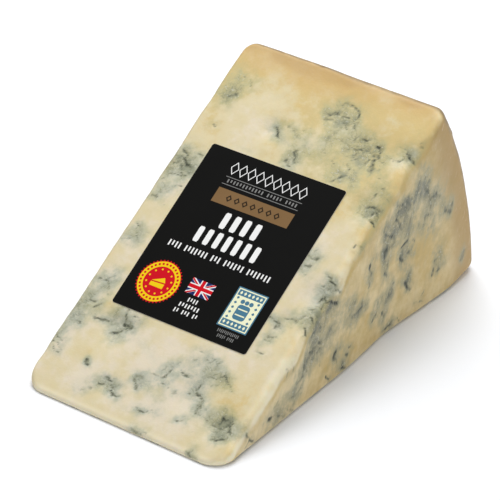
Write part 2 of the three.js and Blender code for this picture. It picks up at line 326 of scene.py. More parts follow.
def hollowed(points):
    """How deep the hollows of the three faces are, at each point."""
    hollows = [(on_slope(across, up), radius, depth) for across, up, radius, depth in SLOPE_HOLLOWS]
    for end, face_hollows in ((SLICE_WIDTH, RIGHT_HOLLOWS), (0, LEFT_HOLLOWS)):
        hollows += [((end, outward, up), radius, depth) for outward, up, radius, depth in face_hollows]
    total = np.zeros(len(points))
    for place, radius, depth in hollows:
        total += depth * bump(np.linalg.norm(points - place, axis=1), radius)
    return total


def outside_label(points):
    """How far each point of the sloping face is outside the label's outline."""
    across = np.abs(points[:, 0] - LABEL_ACROSS) - LABEL_WIDTH / 2
    along = np.abs(np.hypot(points[:, 1], points[:, 2]) - LABEL_UP_SLOPE) - LABEL_HEIGHT / 2
    return np.maximum(across, along)


def swell(points):
    """How far the slow swells shift each point along X."""
    x, y, z = points.T
    shift = 0
    for outward, up, radius, amount in RIGHT_SWELLS:
        shift = shift + amount * bump(np.hypot(y - outward, z - up), radius)
    return shift * smoothstep(x, SLICE_WIDTH - SWELL_REACH, SLICE_WIDTH)


def shared_relief(points, outward):
    """How far the surface stands out from the plain wedge along its normal, the seat left aside."""
    x, y, z = points.T
    end_face = np.abs(outward[:, 0])
    slope_depth = -(points @ SLOPE_OUT)
    cut_edge = np.minimum.reduce([slope_depth, z, x, SLICE_WIDTH - x])
    off_edges = smoothstep(cut_edge, 0, TIDY_CUT_EDGE)
    on_rind = fading(WHEEL_RADIUS - np.hypot(y, z), 0, RIND_RELIEF_REACH) * off_edges
    along_edges = RELIEF_AT_EDGES + (1 - RELIEF_AT_EDGES) * off_edges
    cuts = (undulation(points) + streaks(points) * end_face) * along_edges
    from_label = np.maximum(outside_label(points), slope_depth)
    off_label = smoothstep(from_label, CALM_ROUND_LABEL, FULL_RELIEF_FROM_LABEL)
    off_base = smoothstep(z, 0, FLAT_BASE_HEIGHT)
    off_thin_edge = smoothstep(y, THIN_EDGE_RADIUS, THIN_EDGE_RADIUS + CALM_THIN_EDGE)
    relief = (cuts + crust(points) * on_rind - hollowed(points)) * off_label
    return relief * off_base * off_thin_edge


# ------------------------------------------------------------------ veins

# Soft grey clouds of mould in the sloping face:
# (across, up slope, half length, half width, turn in degrees, strength).
SLOPE_CLOUDS = [
    (34, 92.3, 4.6, 3, 10, 0.75), (45.6, 85.4, 5.2, 3.2, -20, 0.6), (37, 86.5, 5, 4, 0, 0.3),
    (53.8, 88.6, 3.2, 2.6, -10, 0.2), (29, 77.8, 3, 1.8, 80, 0.6), (21.8, 82.5, 3.4, 1.3, -35, 0.5),
    (26, 84, 4, 1, -25, 0.3), (7.5, 92.2, 3.4, 1.8, 0, 0.35), (3, 87.5, 3.6, 2.8, 0, 0.5),
    (42.6, 77.6, 3, 1.5, 30, 0.5), (54.6, 73, 4.6, 2.8, 80, 0.45), (4.6, 66.4, 4.6, 4.2, -20, 1),
    (3, 58, 2.2, 1.6, 40, 0.45), (3.6, 46, 2.8, 2.4, 0, 0.4), (4.6, 33, 3.2, 2.4, 40, 0.5),
    (1.6, 23, 6.5, 2.2, 88, 0.75), (14.2, 24.4, 3.6, 3.2, -50, 0.42), (8.6, 23.8, 2.6, 0.9, 5, 0.35),
    (47.8, 55.6, 3, 2, 80, 0.7), (55.8, 50.5, 2.8, 2, 80, 0.45), (57, 45.5, 4, 1.6, 85, 0.6),
    (48.4, 38.8, 2.4, 0.9, -15, 0.5), (53, 41.6, 3.4, 1.4, 10, 0.5), (50, 34.8, 2.2, 1.2, 60, 0.45),
    (39.5, 22.4, 5.5, 3.4, 0, 0.5), (45.4, 21.4, 3.2, 1.2, -30, 0.5), (41.5, 17, 3.4, 2.2, 80, 0.35),
    (31.6, 17.4, 3, 2.2, 60, 0.4), (44.6, 13, 2.4, 1.8, -50, 0.5), (49, 12.2, 3.4, 2.6, 0, 0.5),
    (52.4, 12, 2.6, 2.2, -50, 0.75), (52, 8.2, 2.2, 1.4, 20, 0.6), (26.6, 13.4, 2.6, 1.9, -40, 0.6),
    (20, 10.4, 3, 1.5, 0, 0.6), (22.8, 8.6, 2.6, 1.2, -30, 0.5), (15, 7.5, 2.4, 1.8, 40, 0.3),
    (12, 12.8, 1.2, 0.9, -40, 0.5), (24, 21, 4.2, 1.4, -20, 0.2), (32, 12, 3, 1.4, -30, 0.25),
    (36, 14, 1.8, 1.2, 0, 0.3), (42, 9, 2, 1.1, 15, 0.4), (31.6, 7.4, 3.2, 0.8, 10, 0.3),
    (33, 2.3, 1.8, 1, 0, 0.5), (49, 2.4, 2, 1.2, -50, 0.55), (56.2, 12.5, 3, 1.4, 80, 0.35),
    (17, 75.6, 3.6, 0.8, 0, 0.25), (12, 27.5, 3, 1.4, 80, 0.35), (55.6, 89.6, 1.6, 1.4, 0, 0.5),
    (54.4, 71.6, 1.6, 1.1, 60, 0.4), (56, 46.5, 4.2, 2.4, 84, 0.5), (40, 85, 12, 8, -15, 0.24),
    (3, 62, 8, 3, 88, 0.2), (4, 28, 8, 4, 80, 0.2), (3, 90, 4, 6, 0, 0.42), (46, 76, 8, 4, 0, 0.38),
    (29, 80, 7, 5, 0, 0.24), (16, 24, 6, 5, 0, 0.18), (36, 10, 6, 5, 0, 0.1),
]

# Dark marks in the sloping face, given the same way.
SLOPE_MARKS = [
    # below the rind
    (34.8, 95.2, 1.5, 0.5, -10, 0.8), (37.6, 93.6, 1.1, 0.6, -60, 0.95), (32.4, 93.9, 0.9, 0.5, 70, 0.55),
    (31.4, 91.8, 1.4, 0.4, 20, 0.85), (34.2, 91.9, 1.7, 0.4, 10, 0.85), (32, 90.3, 1.5, 0.5, 0, 0.6),
    (35.8, 90, 1.2, 0.4, -45, 0.75), (38.4, 90.8, 0.9, 0.4, -30, 0.7), (5.8, 92.9, 1.1, 0.4, 0, 0.6),
    (8, 91.8, 0.5, 0.4, -30, 0.6), (54.8, 94.6, 0.5, 0.2, -50, 0.4), (56.3, 92.3, 0.5, 0.3, -50, 0.6),
    # the large patch right of the middle
    (40.6, 88, 0.6, 0.25, 80, 0.9), (42.9, 88.5, 0.9, 0.45, 10, 1), (41.5, 87, 1.1, 0.3, 30, 0.6),
    (44.4, 86.9, 1.5, 0.35, -35, 0.9), (47.4, 87.2, 0.9, 0.4, -35, 1), (43, 85.4, 1.6, 0.35, 25, 0.7),
    (42.8, 83.6, 1.2, 0.3, -60, 0.7), (40.8, 84.8, 0.7, 0.3, 10, 0.5), (45.4, 86, 0.9, 0.5, -40, 0.8),
    (47.6, 85.7, 0.9, 0.8, 0, 0.8), (49, 85, 0.9, 0.4, -20, 0.7), (46, 83.2, 1, 0.5, 60, 0.75),
    (48.1, 83.2, 1.2, 0.8, -70, 0.95), (55.3, 88.3, 1.1, 0.6, -30, 1), (54.1, 87, 1, 0.35, 35, 0.9),
    (52, 86.3, 1.1, 0.4, -15, 0.8), (53.4, 89.8, 1.4, 0.3, -10, 0.5), (34.8, 86.2, 0.9, 0.35, 70, 0.6),
    (34.2, 83.6, 1.2, 0.25, -80, 0.4), (35.3, 81.9, 0.5, 0.3, -50, 0.5), (38.8, 79.9, 0.6, 0.3, -45, 0.6),
    (42.8, 80.3, 0.6, 0.45, -50, 0.95),
    # above the label and left of it
    (28.6, 79.6, 0.8, 0.5, 80, 0.8), (29.2, 77.9, 1.3, 0.6, -70, 0.95), (28.3, 77, 0.7, 0.4, 80, 0.7),
    (29, 75.7, 0.6, 0.4, 0, 0.7), (30.1, 76.9, 0.6, 0.4, 50, 0.7), (31.3, 80.2, 0.8, 0.25, 20, 0.45),
    (21.3, 82.6, 1.6, 0.5, -38, 1), (23, 81.5, 0.8, 0.3, -20, 0.5), (23.4, 85.1, 1.8, 0.25, -10, 0.45),
    (26.4, 83.7, 1.5, 0.3, -35, 0.5), (27.8, 85.5, 0.7, 0.25, 0, 0.5), (5.5, 87.6, 0.9, 0.7, 60, 0.7),
    (4.6, 86, 0.9, 0.3, 20, 0.5), (5.2, 78.4, 0.5, 0.3, 0, 0.7), (42.2, 76.9, 1.1, 0.6, 50, 0.75),
    (41.2, 75.6, 0.7, 0.3, 30, 0.5), (45.8, 77.8, 0.7, 0.45, -30, 0.85), (44, 78.2, 1.2, 0.25, 0, 0.4),
    (51.8, 80.2, 0.6, 0.3, -10, 0.6), (54, 78.4, 0.5, 0.3, -40, 0.7), (53.1, 75.8, 0.9, 0.45, 80, 0.7),
    # right of the label
    (54.3, 73.1, 1.3, 0.5, -10, 1), (55.8, 72.3, 1, 0.5, -60, 1), (52.2, 70.6, 1, 0.35, -10, 0.5),
    (56.2, 69.8, 0.9, 0.5, -10, 0.95), (56.6, 75.6, 0.8, 0.3, -50, 0.6), (55.8, 62.8, 0.5, 0.45, 70, 0.7),
    (57.3, 64.2, 0.8, 0.4, 60, 0.6), (47.5, 58.1, 0.6, 0.4, 50, 0.6), (49, 56.5, 0.8, 0.5, 25, 0.95),
    (47.9, 56.3, 0.9, 0.5, -20, 0.6), (47.9, 53.8, 0.9, 0.4, 20, 0.7), (48.6, 52.4, 1, 0.3, -35, 0.45),
    (50, 50.7, 0.4, 0.25, 0, 0.5), (55.6, 52.7, 0.8, 0.45, -20, 1), (56.1, 51, 0.5, 0.4, 60, 0.6),
    (56.8, 49, 0.4, 0.3, 0, 0.9), (57.2, 47.5, 0.6, 0.5, 20, 1), (56.7, 46.3, 0.8, 0.3, -75, 0.85),
    (48, 39, 1.6, 0.4, -10, 0.95), (50, 38.2, 0.5, 0.45, 60, 0.8), (51.4, 41.2, 1.2, 0.35, 15, 0.75),
    (53.5, 41.8, 0.9, 0.7, 60, 0.75), (56.4, 42.2, 0.9, 0.4, -25, 0.85), (56.2, 39.3, 0.9, 0.4, -50, 0.95),
    (55.6, 47.8, 1, 0.5, 70, 0.9), (56.8, 44.4, 1.1, 0.5, 80, 0.95), (55.2, 45.4, 0.7, 0.4, 20, 0.8),
    (49.8, 35, 0.9, 0.5, 30, 0.85), (49.6, 33.9, 0.7, 0.35, 10, 0.6), (50, 30.8, 0.9, 0.3, -5, 0.75),
    (49.8, 35.9, 0.5, 0.2, 0, 0.4), (54.3, 53.8, 0.7, 0.5, 0, 0.8), (53.6, 51.2, 0.4, 0.3, 0, 0.7),
    (54.9, 71.5, 0.8, 0.4, 80, 0.8), (54.4, 50.2, 0.4, 0.3, 40, 0.8), (55, 49.4, 0.4, 0.3, 0, 0.8),
    (53.2, 48.6, 0.4, 0.25, 0, 0.6),
    # left of the label
    (3, 69.5, 1.5, 0.5, -30, 0.85), (5, 67, 1.6, 0.6, -30, 0.95), (2.2, 66.5, 1, 0.4, 20, 0.7),
    (6.8, 66.8, 0.8, 0.35, 0, 0.6), (4.6, 65.3, 1.5, 0.5, -35, 0.8), (3.2, 63.8, 0.9, 0.4, 30, 0.75),
    (5.8, 63.7, 1.2, 0.5, 10, 0.95), (7.5, 65.2, 0.6, 0.3, 0, 0.6), (6.5, 61, 0.9, 0.35, 20, 0.7),
    (4.3, 59.3, 0.6, 0.3, 20, 0.5), (1.4, 61.4, 0.5, 0.4, 80, 0.6), (6.8, 70.2, 0.9, 0.3, 10, 0.65),
    (3.1, 57.7, 0.5, 0.5, 60, 0.65), (2.2, 56.5, 1, 0.4, 15, 0.75), (6, 55, 0.5, 0.25, 0, 0.45),
    (3.2, 48.6, 0.6, 0.4, -30, 0.95), (3.8, 46.8, 0.9, 0.35, -60, 0.65), (2.5, 44.5, 1.1, 0.35, 30, 0.65),
    (6, 47.2, 0.8, 0.25, 15, 0.45), (5.6, 44.5, 0.5, 0.3, 0, 0.45), (3.5, 43, 1.5, 0.25, 0, 0.3),
    (5.6, 35, 0.6, 0.4, 70, 0.85), (4.8, 33.8, 0.8, 0.4, 60, 0.5), (3.4, 32.6, 1.3, 0.4, 0, 0.85),
    (5.3, 31.7, 0.9, 0.3, -60, 0.65), (6, 30, 0.4, 0.35, 0, 0.6),
    # below the label, left
    (2, 26.5, 1.3, 0.5, 30, 0.75), (4, 27.3, 1.4, 0.3, 5, 0.75), (5.8, 26.2, 0.6, 0.5, 45, 0.85),
    (1.2, 24.2, 0.9, 0.7, 60, 0.5), (3.6, 20.8, 0.9, 0.5, -20, 0.85), (2.5, 22.3, 0.7, 0.4, 0, 0.5),
    (2, 15.7, 0.8, 0.5, -20, 0.85), (1.2, 14, 1, 0.5, 0, 0.85), (3.3, 13.6, 0.7, 0.3, -10, 0.55),
    (2.6, 12.4, 1, 0.3, -5, 0.65), (8.2, 23.6, 1.2, 0.4, 0, 0.85), (10, 23.8, 0.5, 0.5, 0, 0.8),
    (14, 27.9, 0.8, 0.6, 90, 0.75), (14.3, 26.2, 0.9, 0.5, -50, 0.85), (15.8, 24.6, 0.9, 0.6, 10, 1),
    (15.5, 23.4, 0.8, 0.5, -40, 0.9), (12.6, 24.2, 1.2, 0.4, 10, 0.65), (13.6, 22, 1, 0.6, 20, 0.9),
    (14, 20.9, 0.7, 0.5, -30, 0.8), (14.5, 19.8, 0.5, 0.3, 0, 0.6), (17.3, 26.9, 0.9, 0.3, -5, 0.75),
    (12, 12.6, 0.7, 0.5, -40, 0.95), (19.5, 10.9, 1, 0.6, 0, 0.8), (18.5, 9.3, 0.8, 0.35, 20, 0.75),
    (21.4, 9.6, 0.9, 0.3, -10, 0.65), (22.4, 8.3, 0.9, 0.5, -35, 1), (24, 8, 0.8, 0.5, 30, 0.65),
    (15, 5.8, 0.5, 0.4, 0, 0.75), (16.6, 7.5, 0.5, 0.35, 0, 0.45), (26.2, 14.2, 0.9, 0.8, 0, 0.5),
    (26.4, 12.4, 1.2, 0.7, -30, 0.65), (28, 12.8, 0.8, 0.6, 0, 0.35),
    # below the label, middle
    (31.9, 17.6, 1.2, 0.35, 75, 0.85), (31.4, 16.4, 0.6, 0.45, 0, 0.95), (29, 16.1, 0.9, 0.4, 10, 0.55),
    (33.2, 15.1, 0.9, 0.25, -10, 0.65), (30.6, 18.9, 0.7, 0.3, 60, 0.4), (32.7, 20.7, 0.6, 0.3, 60, 0.5),
    (36.4, 23.2, 0.5, 0.35, 0, 0.6), (36, 19, 1.1, 0.4, -10, 0.85), (39.5, 24.2, 0.9, 0.35, 10, 0.55),
    (37, 25.4, 1.2, 0.35, -15, 0.45), (40.9, 24.8, 1.2, 0.3, -20, 0.55), (42.4, 22.8, 0.5, 0.4, 0, 0.6),
    (42.3, 20.8, 0.6, 0.45, 0, 0.85), (44, 21, 0.9, 0.3, 40, 0.65), (45.7, 21.7, 1.2, 0.4, -35, 0.95),
    (47.6, 20.6, 1.2, 0.35, -35, 0.65), (44.3, 19.2, 1, 0.4, 30, 0.45), (41.2, 18.2, 0.8, 0.4, 80, 0.95),
    (40, 17.2, 0.8, 0.3, -10, 0.65), (41.3, 16.7, 0.7, 0.4, -60, 0.75), (39.1, 15.8, 0.3, 0.35, 0, 1),
    (42.5, 15.6, 1, 0.4, -35, 0.95), (43.4, 14.6, 0.7, 0.4, -60, 0.85), (43.5, 12.8, 1, 0.45, -70, 0.75),
    (44.8, 11.9, 0.7, 0.4, 0, 0.65), (36, 14, 0.7, 0.5, 40, 0.4), (41.7, 8.9, 0.9, 0.4, 15, 0.85),
    # below the label, right
    (47.2, 11.4, 0.9, 0.5, -20, 0.5), (49.6, 10.6, 0.8, 0.45, 0, 0.8), (50, 14.5, 0.7, 0.4, 60, 0.5),
    (52.2, 13, 1.5, 0.5, -10, 0.95), (53, 11.9, 1.1, 0.65, -50, 1), (51.8, 11.3, 0.9, 0.6, 20, 0.9),
    (50.6, 12.2, 0.7, 0.45, 60, 0.7), (52.5, 8.6, 1, 0.5, 20, 1), (51.4, 7.9, 0.7, 0.4, 10, 0.8),
    (45.6, 7.6, 0.9, 0.3, 20, 0.3), (31.5, 7, 0.6, 0.35, 20, 0.9), (30, 7.2, 0.8, 0.3, 10, 0.4),
    (33.4, 8, 1, 0.25, 15, 0.6), (32.5, 2.3, 0.7, 0.5, -20, 0.95), (34.2, 2, 0.6, 0.4, 40, 0.65),
    (35.5, 2.7, 0.4, 0.3, 0, 0.4), (48.3, 3.4, 0.6, 0.5, 70, 0.6), (49.2, 1.8, 1.1, 0.5, -50, 0.85),
]

# Clouds and marks in the right end face: (outward, up, half length, half width, turn, strength).
RIGHT_CLOUDS = [
    (26, 4.4, 6.5, 3, 15, 0.42), (31, 6.6, 3, 1.8, 40, 0.4), (38.4, 12.2, 5.6, 2.8, 25, 0.85),
    (36.2, 16.4, 2.6, 1.5, 60, 0.5), (38.5, 18.2, 2.8, 1.6, 80, 0.7), (42.6, 21.6, 4.4, 2.4, 20, 0.55),
    (46, 16.5, 4.8, 3.2, -20, 0.42), (52, 17, 2.4, 1.5, -30, 0.55), (54.2, 13.4, 3.5, 1.7, 15, 0.8),
    (46.2, 6.4, 2.8, 2.6, 0, 0.35), (47.4, 3.2, 3.2, 1.9, -45, 0.4), (58.6, 20.8, 2.8, 1.2, 80, 0.45),
    (65.6, 21.2, 4.6, 1.2, 87, 0.62), (68.6, 27.8, 5, 3.6, 50, 0.85), (72.6, 32.4, 3.4, 2.1, -20, 0.72),
    (74.6, 24.2, 2.8, 1, 75, 0.42), (73.2, 18.6, 2.5, 2, -20, 0.62), (74, 12.4, 2.5, 1.7, 70, 0.5),
    (61.6, 10.4, 2.9, 1.5, 60, 0.58), (66.9, 11.4, 2.9, 1.5, 65, 0.58), (64.9, 6.8, 2.5, 1.2, 70, 0.58),
    (67.2, 2.2, 2, 1.4, 20, 0.55), (81.6, 25, 1.6, 1.3, 20, 0.4), (83.8, 30.6, 4, 1.9, -50, 0.62),
    (78.6, 35.4, 4.6, 2.8, 70, 0.55), (90.4, 22.8, 2.8, 2, 20, 0.58), (86.4, 11.8, 1.8, 1.2, 60, 0.4),
    (86.8, 8.8, 2.8, 1.4, 10, 0.58), (96.4, 7, 2.8, 1.6, 60, 0.4), (87, 14.6, 3, 2, -40, 0.3),
    (66, 22, 17, 13, 40, 0.1), (46, 16, 10, 8, 30, 0.16), (28, 6, 9, 4, 25, 0.1), (84, 24, 9, 12, 0, 0.1),
    (79, 29, 7.5, 5.5, 0, 0.5), (60, 32, 5, 2.4, 30, 0.25), (87, 22, 5, 4, 0, 0.15),
    (56.6, 31, 1.8, 1.2, 40, 0.5), (80.5, 36, 2.6, 1.6, 60, 0.5), (66, 10, 11, 5, 20, 0.12),
]
LEFT_HAZE = [(58, 18, 22, 12, 30, 0.38), (30, 7, 12, 4, 20, 0.25), (84, 24, 9, 12, 0, 0.25)]
RIGHT_MARKS = [
    # toward the thin edge
    (12.4, 2.8, 1.8, 0.35, -58, 0.8), (11.6, 1.9, 0.8, 0.3, 30, 0.5), (20.2, 3.8, 0.7, 0.5, 0, 0.8),
    (22.6, 3.2, 1.4, 0.4, -20, 0.4), (23, 6.3, 0.8, 0.35, 10, 0.6), (24.2, 2, 0.8, 0.5, -50, 0.5),
    (27.6, 1.8, 0.9, 0.5, -30, 0.4), (28.2, 4.9, 0.8, 0.35, 5, 0.6), (30.6, 5.2, 1.1, 0.4, 30, 0.6),
    (31.6, 7.4, 0.9, 0.5, 20, 0.8), (33.2, 9.8, 0.7, 0.6, 70, 0.7), (34.2, 8.8, 0.6, 0.4, -60, 0.5),
    (27, 12.6, 0.8, 0.35, 70, 0.45), (29.2, 12.9, 1, 0.35, 75, 0.4), (56.4, 30.6, 0.7, 0.4, 80, 0.7),
    # the patch under the ridge
    (35.6, 11, 0.9, 0.4, 30, 0.5), (36.6, 11.8, 0.9, 0.45, -20, 0.75), (38.6, 12.9, 1.2, 0.35, 30, 0.85),
    (39.8, 13.2, 0.8, 0.4, -40, 0.7), (38.8, 11.2, 0.8, 0.4, 10, 0.5), (41.2, 13.2, 0.9, 0.35, -40, 0.5),
    (37, 13.6, 0.8, 0.35, 40, 0.5), (40.4, 11.4, 0.7, 0.4, -20, 0.5), (35.2, 13.9, 0.7, 0.35, 10, 0.45),
    (36.4, 16.9, 0.8, 0.6, 10, 0.55), (35.8, 21.2, 1.3, 0.35, -50, 0.85), (38.4, 18.4, 1.4, 0.45, 80, 0.5),
    (39.8, 18, 1, 0.3, -70, 0.5), (39.4, 8, 0.9, 0.4, 85, 0.4), (41, 23.5, 1.1, 0.5, -15, 0.9),
    (39.4, 22.8, 0.6, 0.5, 60, 0.75), (43.4, 22.2, 1.3, 0.32, -32, 0.8), (45, 20.8, 0.8, 0.6, -35, 1),
    (42.2, 24.6, 0.5, 0.3, -30, 0.6), (46.6, 23.4, 0.9, 0.45, -35, 0.7), (41.2, 21.2, 0.8, 0.3, 60, 0.4),
    (40.2, 20, 0.9, 0.3, -30, 0.4), (43.8, 20.2, 0.8, 0.4, -20, 0.45),
    # lower middle
    (44.8, 7.1, 0.6, 0.7, 60, 0.85), (46.4, 7.9, 0.8, 0.3, 20, 0.4), (45.6, 4.6, 1.3, 0.4, -75, 0.4),
    (50.7, 6, 0.5, 0.4, -20, 0.95), (49.6, 4.7, 0.6, 0.3, -30, 0.65), (41.5, 2.3, 0.6, 0.4, -40, 0.8),
    (48.4, 1.7, 0.9, 0.5, -35, 0.95), (52.2, 16.8, 1, 0.5, 50, 0.4), (51.6, 13.6, 0.8, 0.6, -60, 0.5),
    (53.4, 13, 0.9, 0.5, 15, 0.4), (55.6, 13.7, 0.9, 0.6, 15, 0.65), (50.4, 11.8, 0.7, 0.5, 20, 0.5),
    (58.8, 23.1, 0.5, 0.4, 60, 0.9), (59.3, 21.6, 0.5, 0.4, -60, 0.9), (58.2, 19, 0.9, 0.4, 80, 0.5),
    (61.4, 24.6, 0.6, 0.3, 0, 0.4), (62.1, 11.2, 0.8, 0.45, 60, 0.55), (61.6, 9.6, 0.9, 0.35, 65, 0.5),
    (60.5, 8.2, 0.8, 0.4, 45, 0.65), (64.5, 7.1, 1, 0.5, -55, 0.7), (64.8, 5.2, 0.7, 0.3, 80, 0.4),
    (66.4, 12, 1, 0.35, 78, 0.55), (66.5, 10.4, 0.8, 0.4, 70, 0.55), (67.7, 11.8, 0.7, 0.35, 60, 0.4),
    (66.4, 1.9, 1, 0.5, 10, 0.8), (67.9, 2.8, 0.8, 0.35, 60, 0.5), (68.4, 13.6, 0.8, 0.25, -20, 0.5),
    # the large patch and its stem
    (65.5, 17.6, 0.6, 0.5, -70, 0.85), (64.8, 19, 1.1, 0.4, 80, 0.55), (65.4, 22, 1.2, 0.45, 78, 0.7),
    (67.2, 24, 1.2, 0.8, 20, 0.7), (66, 28.6, 0.9, 0.35, -40, 0.75), (67.2, 27, 0.8, 0.4, -40, 0.85),
    (68.8, 26.1, 1.2, 0.32, -55, 0.8), (65.6, 30.4, 1, 0.5, 40, 0.5), (70.6, 29.2, 1.2, 0.6, -50, 0.75),
    (69, 29.8, 1, 0.4, 10, 0.5), (71.2, 27.8, 0.9, 0.4, -60, 0.6), (70.4, 31.8, 0.9, 0.4, 30, 0.55),
    (71.4, 33.4, 0.9, 0.45, -20, 0.65), (73, 31.6, 1, 0.4, -40, 0.5), (74.2, 32.4, 0.9, 0.35, -50, 0.55),
    (72.9, 22.2, 1, 0.3, 15, 0.95), (74.5, 23.4, 1, 0.4, 75, 0.6), (76.6, 21.5, 0.7, 0.35, -30, 0.5),
    (72.2, 18.4, 0.9, 0.55, -70, 0.85), (74, 18.4, 0.8, 0.45, 0, 0.7), (72.7, 16.8, 0.6, 0.35, -60, 0.6),
    (73.3, 10.9, 1.1, 0.5, -60, 0.95), (74.7, 9.2, 0.9, 0.4, -45, 0.75), (74.4, 12.8, 0.9, 0.35, 60, 0.4),
    # toward the rind
    (78.6, 32.8, 0.8, 0.5, -20, 0.5), (81.2, 33, 0.8, 0.5, -70, 0.8), (82.6, 31.2, 1.3, 0.5, -65, 0.6),
    (83.8, 28.8, 0.9, 0.4, 20, 0.5), (85.7, 29, 0.9, 0.4, -50, 0.7), (81.5, 25.1, 0.7, 0.55, 20, 0.85),
    (86, 27.8, 0.6, 0.4, -20, 0.4), (82.7, 21.2, 0.5, 0.35, -20, 0.7), (84, 21.8, 0.4, 0.3, 0, 0.6),
    (90.4, 22, 0.9, 0.6, -35, 0.75), (91.6, 23, 0.8, 0.45, 40, 0.5), (88.8, 24, 0.9, 0.4, -50, 0.4),
    (86.2, 12.4, 0.6, 0.45, 0, 0.65), (86.2, 10.9, 0.6, 0.3, 0, 0.5), (84.6, 8.3, 0.8, 0.6, 60, 0.75),
    (87, 8, 1.2, 0.4, 5, 0.55), (96.6, 6.8, 1.2, 0.6, 50, 0.65), (79.2, 2.8, 1.4, 0.25, -25, 0.55),
    (77.4, 3.6, 0.8, 0.22, -20, 0.35), (80.4, 4.6, 0.7, 0.4, 40, 0.4), (71, 2, 0.8, 0.3, -60, 0.45),
]

# Where the paste is yellower (+) or whiter (-) than elsewhere, on the sloping face and on the right
# end face, given the same way with the amount in the last place.
SLOPE_TONES = [
    (28, 91, 44, 15, 0, 0.35), (28, 99, 30, 4.5, 0, 0.35), (25, 89.5, 5, 4.5, 60, 0.6),
    (48, 95, 10, 4, 0, 0.35), (56, 74, 12, 3, 90, 0.3), (39, 82, 6, 3, -20, 0.25), (3, 80, 9, 3, 85, 0.1),
    (15, 83, 8, 6, 70, -0.75), (17, 92, 6, 2.5, 0, -0.35), (51, 63, 9, 3.5, 88, -0.45),
    (52.5, 48, 4, 2, 80, -0.3), (30, 24.5, 5, 2.5, 10, -0.25), (26, 17, 6, 3, 30, -0.3),
    (37, 9.5, 8, 3.5, 10, -0.3), (10, 10, 8, 4, 0, -0.15), (48, 27.5, 5, 3, -30, -0.2),
    (53, 19, 6.5, 4, -30, 0.3), (55, 26, 6, 2.5, 80, 0.2), (13, 3, 12, 1.8, 0, 0.2),
    (33, 4.5, 3, 2, 0, 0.35), (21, 13.5, 2.5, 1.5, 0, 0.4), (9, 14.5, 2.5, 1.5, 0, 0.3),
    (40, 3.2, 10, 1.6, 0, 0.15), (56, 7, 4, 2, 80, 0.35), (22, 27, 3.5, 1.2, 0, 0.3),
    (54, 36, 6, 2.4, 80, 0.35), (43, 72, 3, 2, 0, 0.2), (53, 91, 6, 3.5, 0, 0.2), (12, 20, 5, 3, 0, 0.15),
    (5, 8, 4, 4, 0, 0.1), (47, 76, 8, 8, 0, 0.75), (52, 58, 4, 14, 0, 0.25), (28, 88, 14, 4, 0, 0.35),
    (52, 14, 8, 7, 0, 0.4), (12, 90, 8, 4, 0, 0.45), (3, 52, 3, 20, 0, 0.1), (30, 16, 12, 8, 0, -0.25),
    (56, 56, 6, 2, 85, -0.4), (45, 96, 8, 3, 0, 0.25), (2, 92, 4, 8, 0, 0.6), (33, 20, 9, 5, 0, -0.3),
    (45, 7, 9, 4, 0, -0.3), (45, 76, 4, 2, 0, 0.3), (51, 16, 5, 3, 0, 0.3), (46, 22, 4, 2, 0, 0.2),
    (3, 66, 3, 8, 0, -0.05), (3, 24, 3, 10, 0, -0.4), (27, 4, 30, 3, 0, -0.15), (40, 19, 5, 3, 0, -0.2),
    (57, 66, 16, 2, 90, 0.3), (55.6, 89.6, 1.8, 1.6, 0, -0.6), (4, 76.5, 4, 3, 0, 0.25),
    # The entry below whitens the paste along the right ridge: a painted highlight.
    (55.5, 22, 12, 1.8, 88, -0.45),
]
RIGHT_TONES = [
    (60, 15, 34, 18, 20, 0.3), (72, 40, 14, 4, 29, 0.1), (60, 4.5, 12, 2.5, 0, 0.05),
    (78, 16, 5, 7, 80, 0.5), (97, 20, 4, 16, 0, -0.25), (83, 43, 7, 4, 60, 0.25), (90, 31, 4, 4, 0, -0.2),
    (40, 5, 7, 2.5, 10, 0.15), (17, 4, 6, 3, 20, 0.1), (9, 2, 7, 3, 10, -0.4), (55, 9, 5, 2.5, 10, 0.1),
    (67, 38, 5, 2, 30, 0.2), (24, 6, 14, 6, 25, -0.5), (63, 12, 13, 4, 0, -0.12),
]


# The faces that are out of sight get loose groups of short strokes, given as (seed, groups, width
# of the face, height of the face). The pairs below are ranges that values are drawn from, and the
# strokes of a group scatter over a share of its reach.
LEFT_GROUPS = (31, 30, 100, 54)
BASE_GROUPS = (32, 46, 57, 102)
GROUP_REACH = (1.4, 3.8)
GROUP_TURN = (20, 80)
GROUP_STRENGTH = (0.35, 0.9)
GROUP_WIDTH_SHARE = 0.6
FEWEST_STROKES = 2
STROKES_PER_REACH = 2
STROKE_SCATTER = 0.55
STROKE_LENGTH = (0.4, 1.3)
STROKE_WIDTH = 0.25
STROKE_WIDENING = 0.15
STROKE_LEAN = 30
STROKE_STRENGTH = (0.4, 0.95)


def spread_marks(seed, count, face_width, face_height, inside):
    """Clouds and marks for a face that is out of sight."""
    draw = np.random.default_rng(seed)
    clouds, marks = [], []
    while len(clouds) < count:
        first, second = draw.uniform(0, face_width), draw.uniform(0, face_height)
        if not inside(first, second):
            continue
        reach = draw.uniform(*GROUP_REACH)
        turn = draw.uniform(*GROUP_TURN)
        strength = draw.uniform(*GROUP_STRENGTH)
        clouds.append((first, second, reach, GROUP_WIDTH_SHARE * reach, turn, strength))
        for _ in range(int(FEWEST_STROKES + STROKES_PER_REACH * reach)):
            across, up = draw.normal(0, STROKE_SCATTER * reach, 2)
            size = draw.uniform(*STROKE_LENGTH)
            width = STROKE_WIDTH + STROKE_WIDENING * size
            lean = turn + draw.normal(0, STROKE_LEAN)
            strength = draw.uniform(*STROKE_STRENGTH)
            marks.append((first + across, second + up, size, width, lean, strength))
    return clouds, marks


